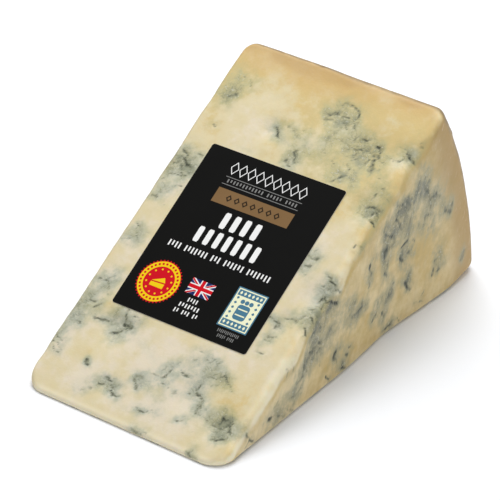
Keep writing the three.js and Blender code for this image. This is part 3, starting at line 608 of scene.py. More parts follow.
def stroke_field(first, second, strokes, extra_width, width_share):
    """How strongly the strokes cover each place of a face, from 0 to 1."""
    bare = np.ones_like(first)
    for middle, height, half_length, half_width, turn, strength in strokes:
        along, aside = turned(first - middle, second - height, math.radians(turn))
        past_end = np.maximum(np.abs(along) - half_length, 0)
        away = np.hypot(past_end, aside) / (extra_width + half_width * width_share)
        bare *= 1 - strength * np.exp(-(away**2))
    return 1 - bare


CLOUD_EDGE = 2.4
CLOUD_FALL = 0.6


def cloud_field(first, second, clouds):
    """Soft-edged ellipses, added up."""
    total = np.zeros_like(first)
    for middle, height, half_length, half_width, turn, strength in clouds:
        along, aside = turned(first - middle, second - height, math.radians(turn))
        away = np.hypot(along / half_length, aside / half_width)
        total += strength * np.exp(-(away**CLOUD_EDGE) * CLOUD_FALL)
    return total


# How far a normal has to point along a face's own for a point to start, and to wholly, belong to it.
SLOPE_FACING = (0.3, 0.7)
END_FACING = (0.7, 0.95)
BASE_FACING = (0.55, 0.9)


def face_weights(outward):
    """How much each point belongs to the slope, the right and left end faces and the base."""
    slope = smoothstep(outward @ SLOPE_OUT, *SLOPE_FACING)
    right = smoothstep(outward[:, 0], *END_FACING)
    left = smoothstep(-outward[:, 0], *END_FACING)
    base = smoothstep(-outward[:, 2], *BASE_FACING)
    return slope, right, left, base


CLOUD_STRENGTH = 0.72
HALO_WIDTH = 1.6
HALO_STRENGTH = 0.32
MARK_WIDTH = 0.7
END_MARK_WIDTH = 0.9
BASE_MARK_WIDTH = 1.3
MOST_HAZE = 1.5

# What frays the veins: (shift, size, first seed).
VEIN_WARPS = ((0.55, 1.7, 11), (0.3, 0.8, 14))


def under_slope(outward, height):
    """Whether a place in the plane of an end face is a millimetre or more below the slope."""
    return height < math.tan(WEDGE_ANGLE) * outward - 1


def vein_fields(points, outward):
    """The clouds, the dark marks and the tone of the paste at each point."""
    warped = points
    for shift, size, seed in VEIN_WARPS:
        frayed = np.stack([noise(points, size, seed + axis) for axis in range(3)], -1)
        warped = warped + shift * frayed
    x, y, z = warped.T

    left_clouds, left_marks = spread_marks(*LEFT_GROUPS, under_slope)
    base_clouds, base_marks = spread_marks(*BASE_GROUPS, lambda across, outward: True)
    faces = (
        (x, np.hypot(y, z), SLOPE_CLOUDS, SLOPE_MARKS, SLOPE_TONES, MARK_WIDTH),
        (y, z, RIGHT_CLOUDS, RIGHT_MARKS, RIGHT_TONES, END_MARK_WIDTH),
        (y, z, left_clouds + LEFT_HAZE, left_marks, RIGHT_TONES, END_MARK_WIDTH),
        (x, y, base_clouds, base_marks, SLOPE_TONES, BASE_MARK_WIDTH),
    )
    cloud, halo, marks, tone = (np.zeros(len(points)) for _ in range(4))
    for weight, face in zip(face_weights(outward), faces):
        first, second, clouds, strokes, tones, mark_width = face
        cloud += weight * cloud_field(first, second, clouds)
        halo += weight * stroke_field(first, second, strokes, HALO_WIDTH, 0)
        marks += weight * stroke_field(first, second, strokes, 0, mark_width)
        tone += weight * cloud_field(first, second, tones)
    haze = CLOUD_STRENGTH * cloud + HALO_STRENGTH * halo
    return np.clip(haze, 0, MOST_HAZE), np.clip(marks, 0, 1), tone


# ------------------------------------------------------------------ the lattice of the surface

SPACING = 0.42
EDGE_SPACING = 0.2
EDGE_REACH = 3.0
LAYERS = 92
FEWEST_LAYERS = 2
THINNEST_LAYER = 0.3
LAYER_SQUEEZE = 0.11
SQUEEZED_ARCS = (6, 30)


def graded_lines(length):
    """Places from 0 to the length, closer together at both ends."""
    place, places = 0.0, [0.0]
    while place < length:
        from_end = min(place, length - place)
        place += EDGE_SPACING + (SPACING - EDGE_SPACING) * float(smoothstep(from_end, 0, EDGE_REACH))
        places.append(place)
    return np.array(places) * length / places[-1]


def layer_lines(arc_length, count):
    """Places from 0 to 1 up the arc between the cut faces, closer together at both ends."""
    even = np.linspace(0, 1, count + 1)
    squeeze = LAYER_SQUEEZE * float(smoothstep(arc_length, *SQUEEZED_ARCS))
    return even - squeeze * np.sin(2 * math.pi * even)


def off_edge(lines):
    """Which lines are clear of the rounded edges at both ends."""
    return (lines > lines[0] + EDGE_REACH) & (lines < lines[-1] - EDGE_REACH)


def paired(lines):
    """For each line clear of the edges, the first line of its pair: the flat base uses only those."""
    first = int(np.argmax(off_edge(lines)))
    index = np.arange(len(lines))
    return index - (index - first) % 2


def layers_by_row(rows):
    """For each row, the layer that each layer falls into, and the angle of each."""
    layer_of = np.zeros((len(rows), LAYERS + 1), int)
    angle_of = np.zeros((len(rows), LAYERS + 1))
    for row, radius in enumerate(rows):
        arc_length = radius * WEDGE_ANGLE
        count = int(np.clip(round(arc_length / THINNEST_LAYER), FEWEST_LAYERS, LAYERS))
        step = np.rint(np.arange(LAYERS + 1) * count / LAYERS).astype(int)
        layer_of[row] = np.rint(step * LAYERS / count).astype(int)
        angle_of[row] = layer_lines(arc_length, count)[step] * WEDGE_ANGLE
    return layer_of, angle_of


def box_quads(shape):
    """The outside faces of a block of lattice points, as four (column, row, layer) corners each."""
    grid = np.stack(np.meshgrid(*(np.arange(size) for size in shape), indexing="ij"), -1)
    quads = []
    for axis, far_faces_back in ((0, False), (1, True), (2, False)):
        for index, flip in ((0, not far_faces_back), (shape[axis] - 1, far_faces_back)):
            plane = np.take(grid, index, axis=axis)
            corners = [plane[:-1, :-1], plane[1:, :-1], plane[1:, 1:], plane[:-1, 1:]]
            if flip:
                corners.reverse()
            quads.append(np.stack(corners, 2).reshape(-1, 4, 3))
    return np.concatenate(quads)


def lattice():
    """The wedge's surface before it is rounded, and its triangles.

    It is the outside of a block of columns, rows and layers. Where the wedge is thin, neighbouring
    layers fall together.
    """
    columns = graded_lines(SLICE_WIDTH)
    rows = THIN_EDGE_RADIUS + graded_lines(WHEEL_RADIUS - THIN_EDGE_RADIUS)
    layer_of, angle_of = layers_by_row(rows)
    shape = (len(columns), len(rows), LAYERS + 1)
    column, row, layer = box_quads(shape).reshape(-1, 3).T
    layer = layer_of[row, layer]
    on_base = (layer == 0) & off_edge(columns)[column] & off_edge(rows)[row]
    column = np.where(on_base, paired(columns)[column], column)
    row = np.where(on_base, paired(rows)[row], row)
    used, corners = np.unique((column * shape[1] + row) * shape[2] + layer, return_inverse=True)
    column, row, layer = np.unravel_index(used, shape)
    angle = angle_of[row, layer]
    points = np.stack([columns[column], rows[row] * np.cos(angle), rows[row] * np.sin(angle)], -1)

    corners = corners.reshape(-1, 4)
    triangles = np.concatenate([corners[:, [0, 1, 2]], corners[:, [0, 2, 3]]])
    whole = np.all(triangles != np.roll(triangles, 1, axis=1), axis=1)
    return points, triangles[whole]


# ------------------------------------------------------------------ the cheese's mesh

# How far down the right end face, under the ridge, a painted highlight carries the slope's lit
# paleness: the least reach, and where it reaches further (outward, radius, amount).
LEAST_REACH = 0.9
LONGER_REACH = [
    (5, 5, 1.5), (19, 8, 1.3), (30, 3.5, 1.9), (47.5, 3, 2.6), (55.5, 2, 0.7), (71, 2.8, 1.2), (84, 3, 0.4),
]
REACH_EDGE = 0.45
SHOULDER_HIGHLIGHT_FACING = (0.05, 0.6)
STRIP_BELOW = 1.0
STRIP_WIDTH = 0.9
STRIP_TONE = 0.6
STRIP_FACING = (0.5, 0.9)

# What frays the edges of bands, as (amount, size, seed) of a smooth noise.
REACH_FRAY = (0.35, 2.5, 94)
CRUST_FRAY = (0.35, 2.2, 81)
END_FACE_FRAY = (0.12, 3.0, 91)
RIM_FRAY = (2.5, 6.0, 92)
BRIM_SHADE_FRAY = (0.05, 2.0, 93)


def fray(points, amount, size, seed):
    return amount * noise(points, size, seed)


def ridge_bands(points, outward):
    """The painted highlight along the right ridge, a pale shoulder, and the yellower strip just below it.
    """
    reach = LEAST_REACH + fray(points, *REACH_FRAY)
    for place, radius, amount in LONGER_REACH:
        reach = reach + amount * bump(points[:, 1] - place, radius)
    past = -(points @ SLOPE_OUT) - reach
    toward_end = outward[:, 0]
    # Painted highlight: the slope's lit paleness carried onto the ridge's fillet.
    shoulder = fading(past, -REACH_EDGE, REACH_EDGE) * smoothstep(toward_end, *SHOULDER_HIGHLIGHT_FACING)
    strip = bump(past - STRIP_BELOW, STRIP_WIDTH) * smoothstep(toward_end, *STRIP_FACING)
    return shoulder, strip


# Layers of fine relief, as (depth, size, seed) of a rough noise.
GRAIN = (0.035, 1.6, 41)
SLOW_GRAIN = (0.06, 5.0, 44)
CRUMBS = (0.05, 1.1, 51)
KNIFE_DRAG = (0.06, 1.5, 61)
SCALES = (0.42, 3.2, 74)
SCALE_OCTAVES = 4

# The knife's lean from upright, and how much longer than wide its drag marks are.
KNIFE_LEAN = math.radians(23)
KNIFE_STRETCH = 6
DRAG_FACING = (0.4, 0.9)

# Veins sink by a little where they are pale and by the crack's depth where they are dark, and that
# depth varies as a noise does. The crust has pits where another noise is high.
CLOUD_SINK = 0.03
CRACK_DEPTH = 0.14
CRACK_SHARE = 0.75
CRACK_FRAY = (0.35, 0.9, 55)
PIT_DEPTH = 0.5
PIT_SIZE = 1.5
PIT_SEED = 71
PIT_NOISE = (0.35, 0.8)
SMOOTH_RIM = (1, 6)
RELIEF_AT_RIM = 0.05


def rough_layer(points, depth, size, seed, octaves=3):
    return depth * rough_noise(points, size, seed, octaves)


def fine_relief(points, outward, cloud, marks, rind):
    """Grain of the paste, crumbled veins, knife drag on the end faces and the pitted crust."""
    end_face = smoothstep(np.abs(outward[:, 0]), *DRAG_FACING)
    grain = rough_layer(points, *GRAIN) + rough_layer(points, *SLOW_GRAIN)
    crumbs = cloud * (rough_layer(points, *CRUMBS) - CLOUD_SINK)
    cracks = -CRACK_DEPTH * marks * (CRACK_SHARE + fray(points, *CRACK_FRAY))
    across_knife, along_knife = turned(points[:, 1], points[:, 2], -KNIFE_LEAN)
    dragged = np.stack([points[:, 0], across_knife, along_knife / KNIFE_STRETCH], -1)
    drag = end_face * rough_layer(dragged, *KNIFE_DRAG)
    pits = PIT_DEPTH * smoothstep(noise(points, PIT_SIZE, PIT_SEED), *PIT_NOISE)
    scales = rough_layer(points, *SCALES, SCALE_OCTAVES)
    off_rim = smoothstep(-(points @ SLOPE_OUT), *SMOOTH_RIM)
    shell = rind * (RELIEF_AT_RIM + off_rim) * (scales - pits)
    return (grain + crumbs + cracks + drag) * (1 - rind) + shell


# Where the relief too fine for the part is held back, and where the seat's walls start and end.
FACES_UP_SLOPE = 0.99
CLEAR_OF_LABEL = (0.2, 1.2)
CLEAR_OF_BASE = (0.1, 1.2)
CLEAR_OF_THIN_EDGE = (THIN_EDGE_RADIUS, 5)
SEAT_WALL = (0.15, 0.9)


def raised(points, outward, cloud, marks, rind):
    """Points of the plain wedge moved to the real surface: relief, the label's seat, swells."""
    on_slope_face = outward @ SLOPE_OUT > FACES_UP_SLOPE
    from_label = outside_label(points)
    fine = fine_relief(points, outward, cloud, marks, rind)
    fine *= np.where(on_slope_face, smoothstep(from_label, *CLEAR_OF_LABEL), 1)
    fine *= smoothstep(points[:, 2], *CLEAR_OF_BASE) * smoothstep(points[:, 1], *CLEAR_OF_THIN_EDGE)
    seat = np.where(on_slope_face, SEAT_DEPTH * smoothstep(-from_label, *SEAT_WALL), 0)
    points = points + outward * (shared_relief(points, outward) + fine - seat)[:, None]
    points[:, 0] += swell(points)
    points[:, 2] = np.maximum(points[:, 2], 0)
    low, high = (np.array(corner) / MM - WHEEL_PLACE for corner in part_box("cheese"))
    return np.clip(points, low, high)


# Where each band is still whole and where it has faded out: the crust, the rim's deeper colour and
# that of the end faces, measured in from the rind, and the painted light that lifts the shade of
# the front, from the thin edge.
CRUST_BAND = (0.25, 0.9)
RIM_BAND = (0, 13)
RIND_SIDE_BAND = (3, 18)
FRONT_LIGHT_BAND = (0.2, 1.6)

# How far normals lean toward the slope where the end faces fade out, and toward the rind where the
# painted shade on the rim starts and is whole. The edges of the left end face get a fainter painted shade.
END_FACE_LEAN = (0.02, 0.6)
BRIM_SHADE_LEAN = (0.1, 0.64)
LEFT_BRIM_SHADE = Sizes(strength=0.4, lean=0.6, spread=0.3)


def rind_field(points, radius):
    """Where the crust is, with a ragged inner edge."""
    return fading(WHEEL_RADIUS - radius - fray(points, *CRUST_FRAY), *CRUST_BAND)


def band_fields(points, outward, radius):
    """The bands that only the material needs: 1 where a band is whole, and 0 away from it."""
    shoulder, strip = ridge_bands(points, outward)
    toward_slope = np.abs(outward @ SLOPE_OUT) + fray(points, *END_FACE_FRAY)
    from_rind = WHEEL_RADIUS - radius + fray(points, *RIM_FRAY)
    toward_rind = (outward[:, 1] * points[:, 1] + outward[:, 2] * points[:, 2]) / radius
    # Painted shade on the rounded rim, and fainter on the left end face's edges.
    brim = smoothstep(toward_rind + fray(points, *BRIM_SHADE_FRAY), *BRIM_SHADE_LEAN)
    left_brim_shade = LEFT_BRIM_SHADE.strength * bump(-outward[:, 0] - LEFT_BRIM_SHADE.lean, LEFT_BRIM_SHADE.spread)
    return {
        "strip": strip,
        "shoulder": shoulder,
        "end_face": fading(toward_slope, *END_FACE_LEAN) * (1 - shoulder),
        "rim": fading(from_rind, *RIM_BAND),
        "rind_side": fading(from_rind, *RIND_SIDE_BAND),
        "brim": np.maximum(brim, left_brim_shade),
        # Painted light at the thin front edge.
        "front": fading(points[:, 1] - THIN_EDGE_RADIUS, *FRONT_LIGHT_BAND),
    }


def linked(name, data):
    """A new object of the scene."""
    thing = bpy.data.objects.new(name, data)
    bpy.context.collection.objects.link(thing)
    return thing


def mesh_object(name, points, faces, smooth=True):
    mesh = bpy.data.meshes.new(name)
    mesh.from_pydata(to_part(points).tolist(), [], faces)
    mesh.validate()
    mesh.polygons.foreach_set("use_smooth", [smooth] * len(mesh.polygons))
    mesh.update()
    return linked(name, mesh)


def store_field(piece, name, values):
    """A value for each point of a piece's mesh, for its material to read."""
    layer = piece.data.attributes.new(name, "FLOAT", "POINT")
    layer.data.foreach_set("value", np.ascontiguousarray(values, dtype=np.float32))


def make_cheese():
    points, triangles = lattice()
    points = settled(points)
    outward = outward_at(points)
    radius = np.hypot(points[:, 1], points[:, 2])
    rind = rind_field(points, radius)
    cloud, marks, tone = vein_fields(points, outward)
    points = raised(points, outward, cloud, marks, rind)
    bands = band_fields(points, outward, radius)
    tone = tone + STRIP_TONE * bands.pop("strip")
    fields = {"cloud": cloud, "marks": marks, "tone": tone, "rind": rind, **bands}
    piece = mesh_object("cheese_paste", points, triangles.tolist())
    for name, values in fields.items():
        store_field(piece, name, values)
    piece.data.materials.append(Paste(fields).finished())
    return piece


# ------------------------------------------------------------------ materials

def srgb(red, green, blue):
    """A screen colour from 0 to 255 as the linear colour that shaders take."""
    def linear(value):
        value /= 255
        return value / 12.92 if value <= 0.04045 else ((value + 0.055) / 1.055) ** 2.4
    return (linear(red), linear(green), linear(blue), 1)


class Shader:
    """A material's node tree, with short calls for the nodes that it needs."""

    def __init__(self, name):
        self.material = bpy.data.materials.new(name)
        self.material.use_nodes = True
        self.tree = self.material.node_tree
        self.surface = self.tree.nodes["Principled BSDF"]
        self.place = self.tree.nodes.new("ShaderNodeTexCoord").outputs["Object"]

    def put(self, socket, value):
        if isinstance(value, bpy.types.NodeSocket):
            self.tree.links.new(value, socket)
        else:
            socket.default_value = value

    def node(self, kind, output, inputs, **settings):
        """The output of a new node with the given settings and inputs."""
        node = self.tree.nodes.new("ShaderNode" + kind)
        for name, value in settings.items():
            setattr(node, name, value)
        for socket, value in inputs.items():
            self.put(node.inputs[socket], value)
        return node.outputs[output]

    def set(self, **inputs):
        for name, value in inputs.items():
            self.put(self.surface.inputs[name.replace("_", " ")], value)

    def math(self, operation, first, second=0.0, clamp=False):
        return self.node("Math", 0, {0: first, 1: second}, operation=operation, use_clamp=clamp)

    def chain(self, operation, total, others):
        for other in others:
            total = self.math(operation, total, other)
        return total

    def sum(self, first, *others):
        return self.chain("ADD", first, others)

    def product(self, first, *others):
        return self.chain("MULTIPLY", first, others)

    def swing(self, value, amount):
        """A noise, from 0 to 1, as a swing to both sides of 0."""
        return self.product(self.math("SUBTRACT", value, 0.5), amount)

    def thin_line(self, value, width):
        """A winding line where a noise crosses its middle value."""
        off_middle = self.math("ABSOLUTE", self.math("SUBTRACT", value, 0.5))
        return self.ramp(off_middle, 0.0, width, start=1.0, end=0.0)

    def field(self, name):
        return self.node("Attribute", "Fac", {}, attribute_name=name)

    def stretched(self, turn, stretch):
        """Object coordinates turned about X and squeezed along their new Z."""
        inputs = {"Vector": self.place, "Rotation": (turn, 0, 0), "Scale": (1, 1, stretch)}
        return self.node("Mapping", 0, inputs, vector_type="TEXTURE")

    def noise(self, size_mm, detail=3.0, roughness=0.55, distortion=0.0, at=None):
        inputs = {
            "Vector": at or self.place, "Scale": 1 / (size_mm * MM), "Detail": detail,
            "Roughness": roughness, "Distortion": distortion,
        }
        return self.node("TexNoise", "Fac", inputs)

    def cells(self, size_mm):
        return self.node("TexVoronoi", "Distance", {"Vector": self.place, "Scale": 1 / (size_mm * MM)})

    def blend(self, amount, first, second):
        """A value between two others, the first at 0 and the second at 1."""
        return self.node("Mix", 0, {0: amount, 2: first, 3: second})

    def mix(self, amount, first, second):
        """A colour between two others, the first at 0 and the second at 1."""
        inputs = {"Factor": amount, "A": first, "B": second}
        return self.node("Mix", "Result", inputs, data_type="RGBA", clamp_factor=True)

    def layered(self, colour, *layers):
        """A colour with others laid over it in turn, each given as (amount, colour)."""
        for amount, over in layers:
            colour = self.mix(amount, colour, over)
        return colour

    def ramp(self, value, low, high, start=0.0, end=1.0):
        """A smooth rise from start, where the value is low, to end, where it is high."""
        inputs = {"Value": value, "From Min": low, "From Max": high, "To Min": start, "To Max": end}
        return self.node("MapRange", "Result", inputs, interpolation_type="SMOOTHSTEP")

    def bump(self, height, distance_mm, strength):
        inputs = {"Height": height, "Distance": distance_mm * MM, "Strength": strength}
        return self.node("Bump", "Normal", inputs)


PASTE_WHITE = srgb(232, 220, 195)
PASTE_CREAM = srgb(225, 211, 170)
PASTE_BUTTER = srgb(218, 194, 132)
PASTE_UNDER_RIND = srgb(214, 178, 112)
PASTE_AT_RIND = srgb(192, 156, 98)
# Painted light: a near-white that lifts the shade of the thin front edge.
FRONT_PAINTED_LIGHT = srgb(250, 239, 210)
# Painted highlight: pale colours for the rounded right ridge, lighter than the light there makes it.
SHOULDER_HIGHLIGHT_PALE = srgb(255, 244, 210)
SHOULDER_HIGHLIGHT_WARM = srgb(240, 214, 150)
WORN_PALE = srgb(234, 214, 164)
WORN_DEEP = srgb(206, 177, 108)
WORN_DRAGGED = srgb(188, 160, 104)
WORN_UNDER_RIND = srgb(176, 142, 82)
SCRATCH = srgb(236, 224, 202)
MOULD_PALE = srgb(181, 186, 168)
MOULD_WARM = srgb(191, 186, 140)
MOULD_WORN = srgb(178, 170, 136)
MOULD_GREY = srgb(136, 142, 122)
MOULD_GREY_WORN = srgb(128, 132, 120)
MOULD_CRUMB = srgb(208, 206, 184)
VEIN_LINE = srgb(84, 94, 74)
VEIN_SPECK = srgb(88, 96, 78)
VEIN_EDGE = srgb(106, 110, 86)
VEIN_EDGE_WORN = srgb(110, 114, 98)
VEIN_CORE = srgb(38, 45, 34)
VEIN_CORE_WORN = srgb(54, 56, 46)
RIND_BROWN = srgb(140, 112, 76)
RIND_TAN = srgb(184, 156, 112)
RIND_DUST = srgb(172, 164, 142)
RIND_PIT = srgb(92, 72, 50)
# Painted shade: dark brown over the rounded rim where it turns toward the rind, dimming the light it
# catches.
BRIM_SHADE_BROWN = srgb(122, 106, 80)
PAPER_BLACK = srgb(15, 15, 14)
PAPER_CORE = srgb(226, 222, 208)
FLOOR_WHITE = srgb(247, 249, 253)


class Paste(Shader):
    """The cheese's material.

    It holds each field of the mesh under the field's name, and the noises that layers share.
    """

    def __init__(self, fields):
        super().__init__("veined_paste")
        for name in fields:
            setattr(self, name, self.field(name))
        self.along_knife = self.stretched(-KNIFE_LEAN, 3.0)
        self.blotch = self.noise(3.0, detail=5.0, roughness=0.62)
        self.crumbs = self.noise(0.9, detail=4.0, roughness=0.65)
        self.drag = self.noise(1.3, detail=4.0, roughness=0.6, at=self.along_knife)
        self.scales = self.noise(3.2, detail=6.0, roughness=0.62, distortion=0.6)
        self.grain = self.blend(self.end_face, self.crumbs, self.drag)
        self.warmth = self.sum(
            0.2,
            self.product(self.tone, 0.75),
            self.swing(self.noise(9.0, detail=2.0), 1.5),
            self.swing(self.blotch, 1.3),
            self.swing(self.crumbs, 0.35),
        )
        self.haze = self.mould_thickness()
        self.line = self.winding_lines()
        self.ragged = self.ragged_marks()
        self.hollow = self.rind_hollows()

    def mould_thickness(self):
        patchy = self.ramp(self.blotch, 0.3, 0.7, start=0.5, end=1.5)
        share = self.ramp(self.end_face, 0.0, 1.0, start=0.4, end=1.0)
        streaky = self.blend(share, 1.0, self.ramp(self.grain, 0.35, 0.65, start=0.75, end=1.25))
        return self.product(self.cloud, patchy, streaky)

    def winding_lines(self):
        wriggle = self.blend(
            self.end_face,
            self.noise(3.4, detail=3.0, roughness=0.6, distortion=1.0),
            self.noise(1.6, detail=3.0, roughness=0.6, distortion=0.6, at=self.along_knife),
        )
        return self.product(self.thin_line(wriggle, 0.035), self.ramp(self.haze, 0.25, 0.9))

    def ragged_marks(self):
        torn = self.blend(0.42, self.noise(1.7, detail=3.0, roughness=0.5), self.crumbs)
        torn = self.blend(self.end_face, torn, self.drag)
        strength = self.blend(self.end_face, 0.92, 1.15)
        return self.product(self.marks, self.ramp(torn, 0.38, 0.6, start=0.5, end=1.25), strength)

    def rind_hollows(self):
        pits = self.ramp(self.cells(2.1), 0.05, 0.3, start=1.0, end=0.0)
        wrinkle = self.noise(5.0, detail=4.0, roughness=0.6, distortion=1.2)
        crease = self.thin_line(wrinkle, 0.03)
        return self.math("MAXIMUM", self.product(pits, 0.45), self.product(crease, 0.5))

    def paste(self):
        """Whitish cream to butter yellow, orange by the rind, with painted light that lifts the shade of
        the front and a painted highlight along the ridge.
        """
        return self.layered(
            PASTE_WHITE,
            (self.ramp(self.warmth, -0.3, 0.35), PASTE_CREAM),
            (self.ramp(self.warmth, 0.3, 1.0), PASTE_BUTTER),
            (self.ramp(self.rim, 0.1, 1.0, end=0.7), PASTE_UNDER_RIND),
            (self.ramp(self.rim, 0.75, 1.0, end=0.5), PASTE_AT_RIND),
            (self.product(self.end_face, 0.85), self.worn_paste()),
            # Painted light lifting the shade of the thin front edge.
            (self.product(self.front, 0.65), FRONT_PAINTED_LIGHT),
            # Painted highlight along the right ridge.
            (self.product(self.shoulder, 0.88), self.shoulder_highlight_paste()),
        )

    def worn_paste(self):
        """The paste of the end faces, dragged by the knife."""
        return self.layered(
            WORN_PALE,
            (self.ramp(self.warmth, -0.2, 1.0), WORN_DEEP),
            (self.ramp(self.drag, 0.4, 0.7, end=0.2), WORN_DRAGGED),
            (self.ramp(self.rind_side, 0.0, 1.0, end=0.85), WORN_UNDER_RIND),
        )

    def shoulder_highlight_paste(self):
        return self.mix(self.ramp(self.warmth, -0.1, 0.9), SHOULDER_HIGHLIGHT_PALE, SHOULDER_HIGHLIGHT_WARM)

    def scratched(self, colour):
        streaks = self.noise(0.45, detail=2.0, at=self.stretched(-KNIFE_LEAN, 5.0))
        by_rind = self.ramp(self.rind_side, 0.0, 1.0, start=0.05, end=0.3)
        flecks = self.product(self.ramp(streaks, 0.62, 0.72), self.end_face, by_rind)
        return self.mix(flecks, colour, SCRATCH)

    def mouldy(self, colour):
        """Pale mould under the surface, greyer where it is thick."""
        pale = self.layered(
            MOULD_PALE,
            (self.ramp(self.warmth, -0.1, 0.8), MOULD_WARM),
            (self.product(self.end_face, 0.8), MOULD_WORN),
        )
        grey = self.mix(self.end_face, MOULD_GREY, MOULD_GREY_WORN)
        return self.layered(
            colour,
            (self.ramp(self.haze, 0.0, 0.6, end=0.8), pale),
            (self.ramp(self.haze, 0.4, 1.5, end=0.8), grey),
        )

    def veined(self, colour):
        """Winding lines and specks in the mould, the green-black cracks, and pale crumbs."""
        specks = self.product(
            self.ramp(self.grain, 0.56, 0.68),
            self.ramp(self.haze, 0.3, 1.0),
            self.blend(self.end_face, 0.12, 0.4),
        )
        crumb = self.product(
            self.ramp(self.noise(0.7, detail=3.0, roughness=0.6), 0.58, 0.68),
            self.ramp(self.haze, 0.2, 0.7, end=0.6),
            self.ramp(self.ragged, 0.2, 0.6, start=1.0, end=0.0),
        )
        edge = self.mix(self.end_face, VEIN_EDGE, VEIN_EDGE_WORN)
        core = self.mix(self.end_face, VEIN_CORE, VEIN_CORE_WORN)
        return self.layered(
            colour,
            (self.product(self.line, 0.25), VEIN_LINE),
            (specks, VEIN_SPECK),
            (self.ramp(self.ragged, 0.05, 0.7, end=0.7), edge),
            (self.ramp(self.ragged, 0.5, 1.1, end=0.88), core),
            (crumb, MOULD_CRUMB),
        )

    def crusted(self, colour):
        """The crust: brown and tan, dusted with grey, with dark pits and wrinkles, and painted shade on the
        rounded rim.
        """
        dust = self.noise(11.0, detail=5.0, roughness=0.6)
        shell = self.layered(
            RIND_BROWN,
            (self.ramp(self.scales, 0.35, 0.65), RIND_TAN),
            (self.ramp(dust, 0.45, 0.62, end=0.65), RIND_DUST),
            (self.hollow, RIND_PIT),
        )
        # Painted shade on the rounded rim.
        on_brim_shade = self.product(
            self.brim,
            self.ramp(self.rind, 0.6, 1.0, start=0.8, end=0.2),
            self.ramp(self.blotch, 0.35, 0.65, start=0.6, end=1.0),
        )
        return self.layered(colour, (self.rind, shell), (on_brim_shade, BRIM_SHADE_BROWN))

    def height(self):
        """Relief too fine for the mesh."""
        return self.sum(
            self.noise(0.45, detail=3.0),
            self.product(self.blotch, 0.6),
            self.product(self.drag, self.end_face, 2.0),
            self.product(self.math("MAXIMUM", self.ramp(self.ragged, 0.3, 1.0), self.line), -1.5),
            self.product(self.hollow, self.rind, -6.0),
            self.product(self.scales, self.rind, 5.0),
        )

    def finished(self):
        rough = self.sum(self.product(self.crumbs, 0.25), 0.4)
        self.set(
            Base_Color=self.crusted(self.veined(self.mouldy(self.scratched(self.paste())))),
            Roughness=self.math("ADD", rough, self.product(self.rind, 0.3), clamp=True),
            Normal=self.bump(self.height(), 0.05, 0.6),
            Subsurface_Weight=0.22,
            Subsurface_Radius=(1.0, 0.72, 0.42),
            Subsurface_Scale=1.6 * MM,
            Specular_IOR_Level=0.45,
        )
        return self.material


def paper_material(name, colour, roughness, mottle=0.06, gloss=0.12, core=None):
    """Coated paper or ink: one colour, very slightly uneven, over a faint fibre.

    A core colour shows where the paper is cut.
    """
    shader = Shader(name)
    fibre = shader.noise(0.35, detail=4.0, roughness=0.6)
    patch = shader.noise(7.0, detail=2.0)
    dark = tuple(channel * (1 - 2 * mottle) for channel in colour[:3]) + (1,)
    light = tuple(min(1.0, channel * (1 + mottle)) for channel in colour[:3]) + (1,)
    surface = shader.mix(shader.product(shader.sum(fibre, patch), 0.5), dark, light)
    if core is not None:
        surface = shader.mix(shader.field("cut"), surface, core)
    shader.set(
        Base_Color=surface,
        Roughness=shader.ramp(patch, 0.3, 0.7, start=roughness - 0.04, end=roughness + 0.04),
        Normal=shader.bump(fibre, 0.01, 0.35),
        Specular_IOR_Level=gloss,
    )
    return shader.material


# ------------------------------------------------------------------ flat shapes on the label

# Outlines are (across, up) places in millimetres right of the label's middle and up from it.
# Areas are (left, bottom, right, top).
INK_STEP = 0.012
INK_SINK = 0.01
CORNER_SEGMENTS = 8
CIRCLE_SEGMENTS = 64
DOT_SEGMENTS = 12


def ink(level):
    """The low and high side of a print layer, level 1 lying on the paper."""
    return LABEL_TOP - INK_SINK, LABEL_TOP + level * INK_STEP


class Flat:
    """Closed thin plates on the label, collected into one mesh."""

    def __init__(self):
        self.points = []
        self.faces = []

    def lofted(self, loops, closed):
        """Joins outlines at given heights, each to the next.

        The last is joined to the first if closed. Otherwise both ends get a cap.
        """
        start = len(self.points)
        count = len(loops[0][0])
        for outline, height in loops:
            self.points.extend(on_label(across, up, height) for across, up in outline)
        for loop in range(len(loops) if closed else len(loops) - 1):
            low = start + loop * count
            high = start + (loop + 1) % len(loops) * count
            for here in range(count):
                after = (here + 1) % count
                self.faces.append([low + here, low + after, high + after, high + here])
        if not closed:
            last = len(self.points) - count
            self.faces.append(list(range(last, last + count)))
            self.faces.append(list(reversed(range(start, start + count))))

    def plates(self, level, outlines):
        """Plates with counter-clockwise outlines."""
        low, high = ink(level)
        for outline in outlines:
            self.lofted([(outline, low), (outline, high)], closed=False)

    def ring(self, level, outer, inner):
        """A closed band between two outlines with as many points."""
        low, high = ink(level)
        self.lofted([(outer, high), (inner, high), (inner, low), (outer, low)], closed=True)


def around(middle, radius, angle):
    return (middle[0] + radius * math.cos(angle), middle[1] + radius * math.sin(angle))


def middle_of(area):
    left, bottom, right, top = area
    return ((left + right) / 2, (bottom + top) / 2)


def rectangle(left, bottom, right, top):
    return [(left, bottom), (right, bottom), (right, top), (left, top)]


def centred(middle, width, height):
    """The area of a size round a middle."""
    across, up = middle
    return (across - width / 2, up - height / 2, across + width / 2, up + height / 2)


def rounded_rectangle(middle, width, height, radius):
    right, top = width / 2 - radius, height / 2 - radius
    outline = []
    for quarter, (x, y) in enumerate(((right, top), (-right, top), (-right, -top), (right, -top))):
        for step in range(CORNER_SEGMENTS + 1):
            angle = math.pi / 2 * (quarter + step / CORNER_SEGMENTS)
            outline.append(around((middle[0] + x, middle[1] + y), radius, angle))
    return outline


def circle(middle, radius, segments=CIRCLE_SEGMENTS):
    return [around(middle, radius, 2 * math.pi * step / segments) for step in range(segments)]


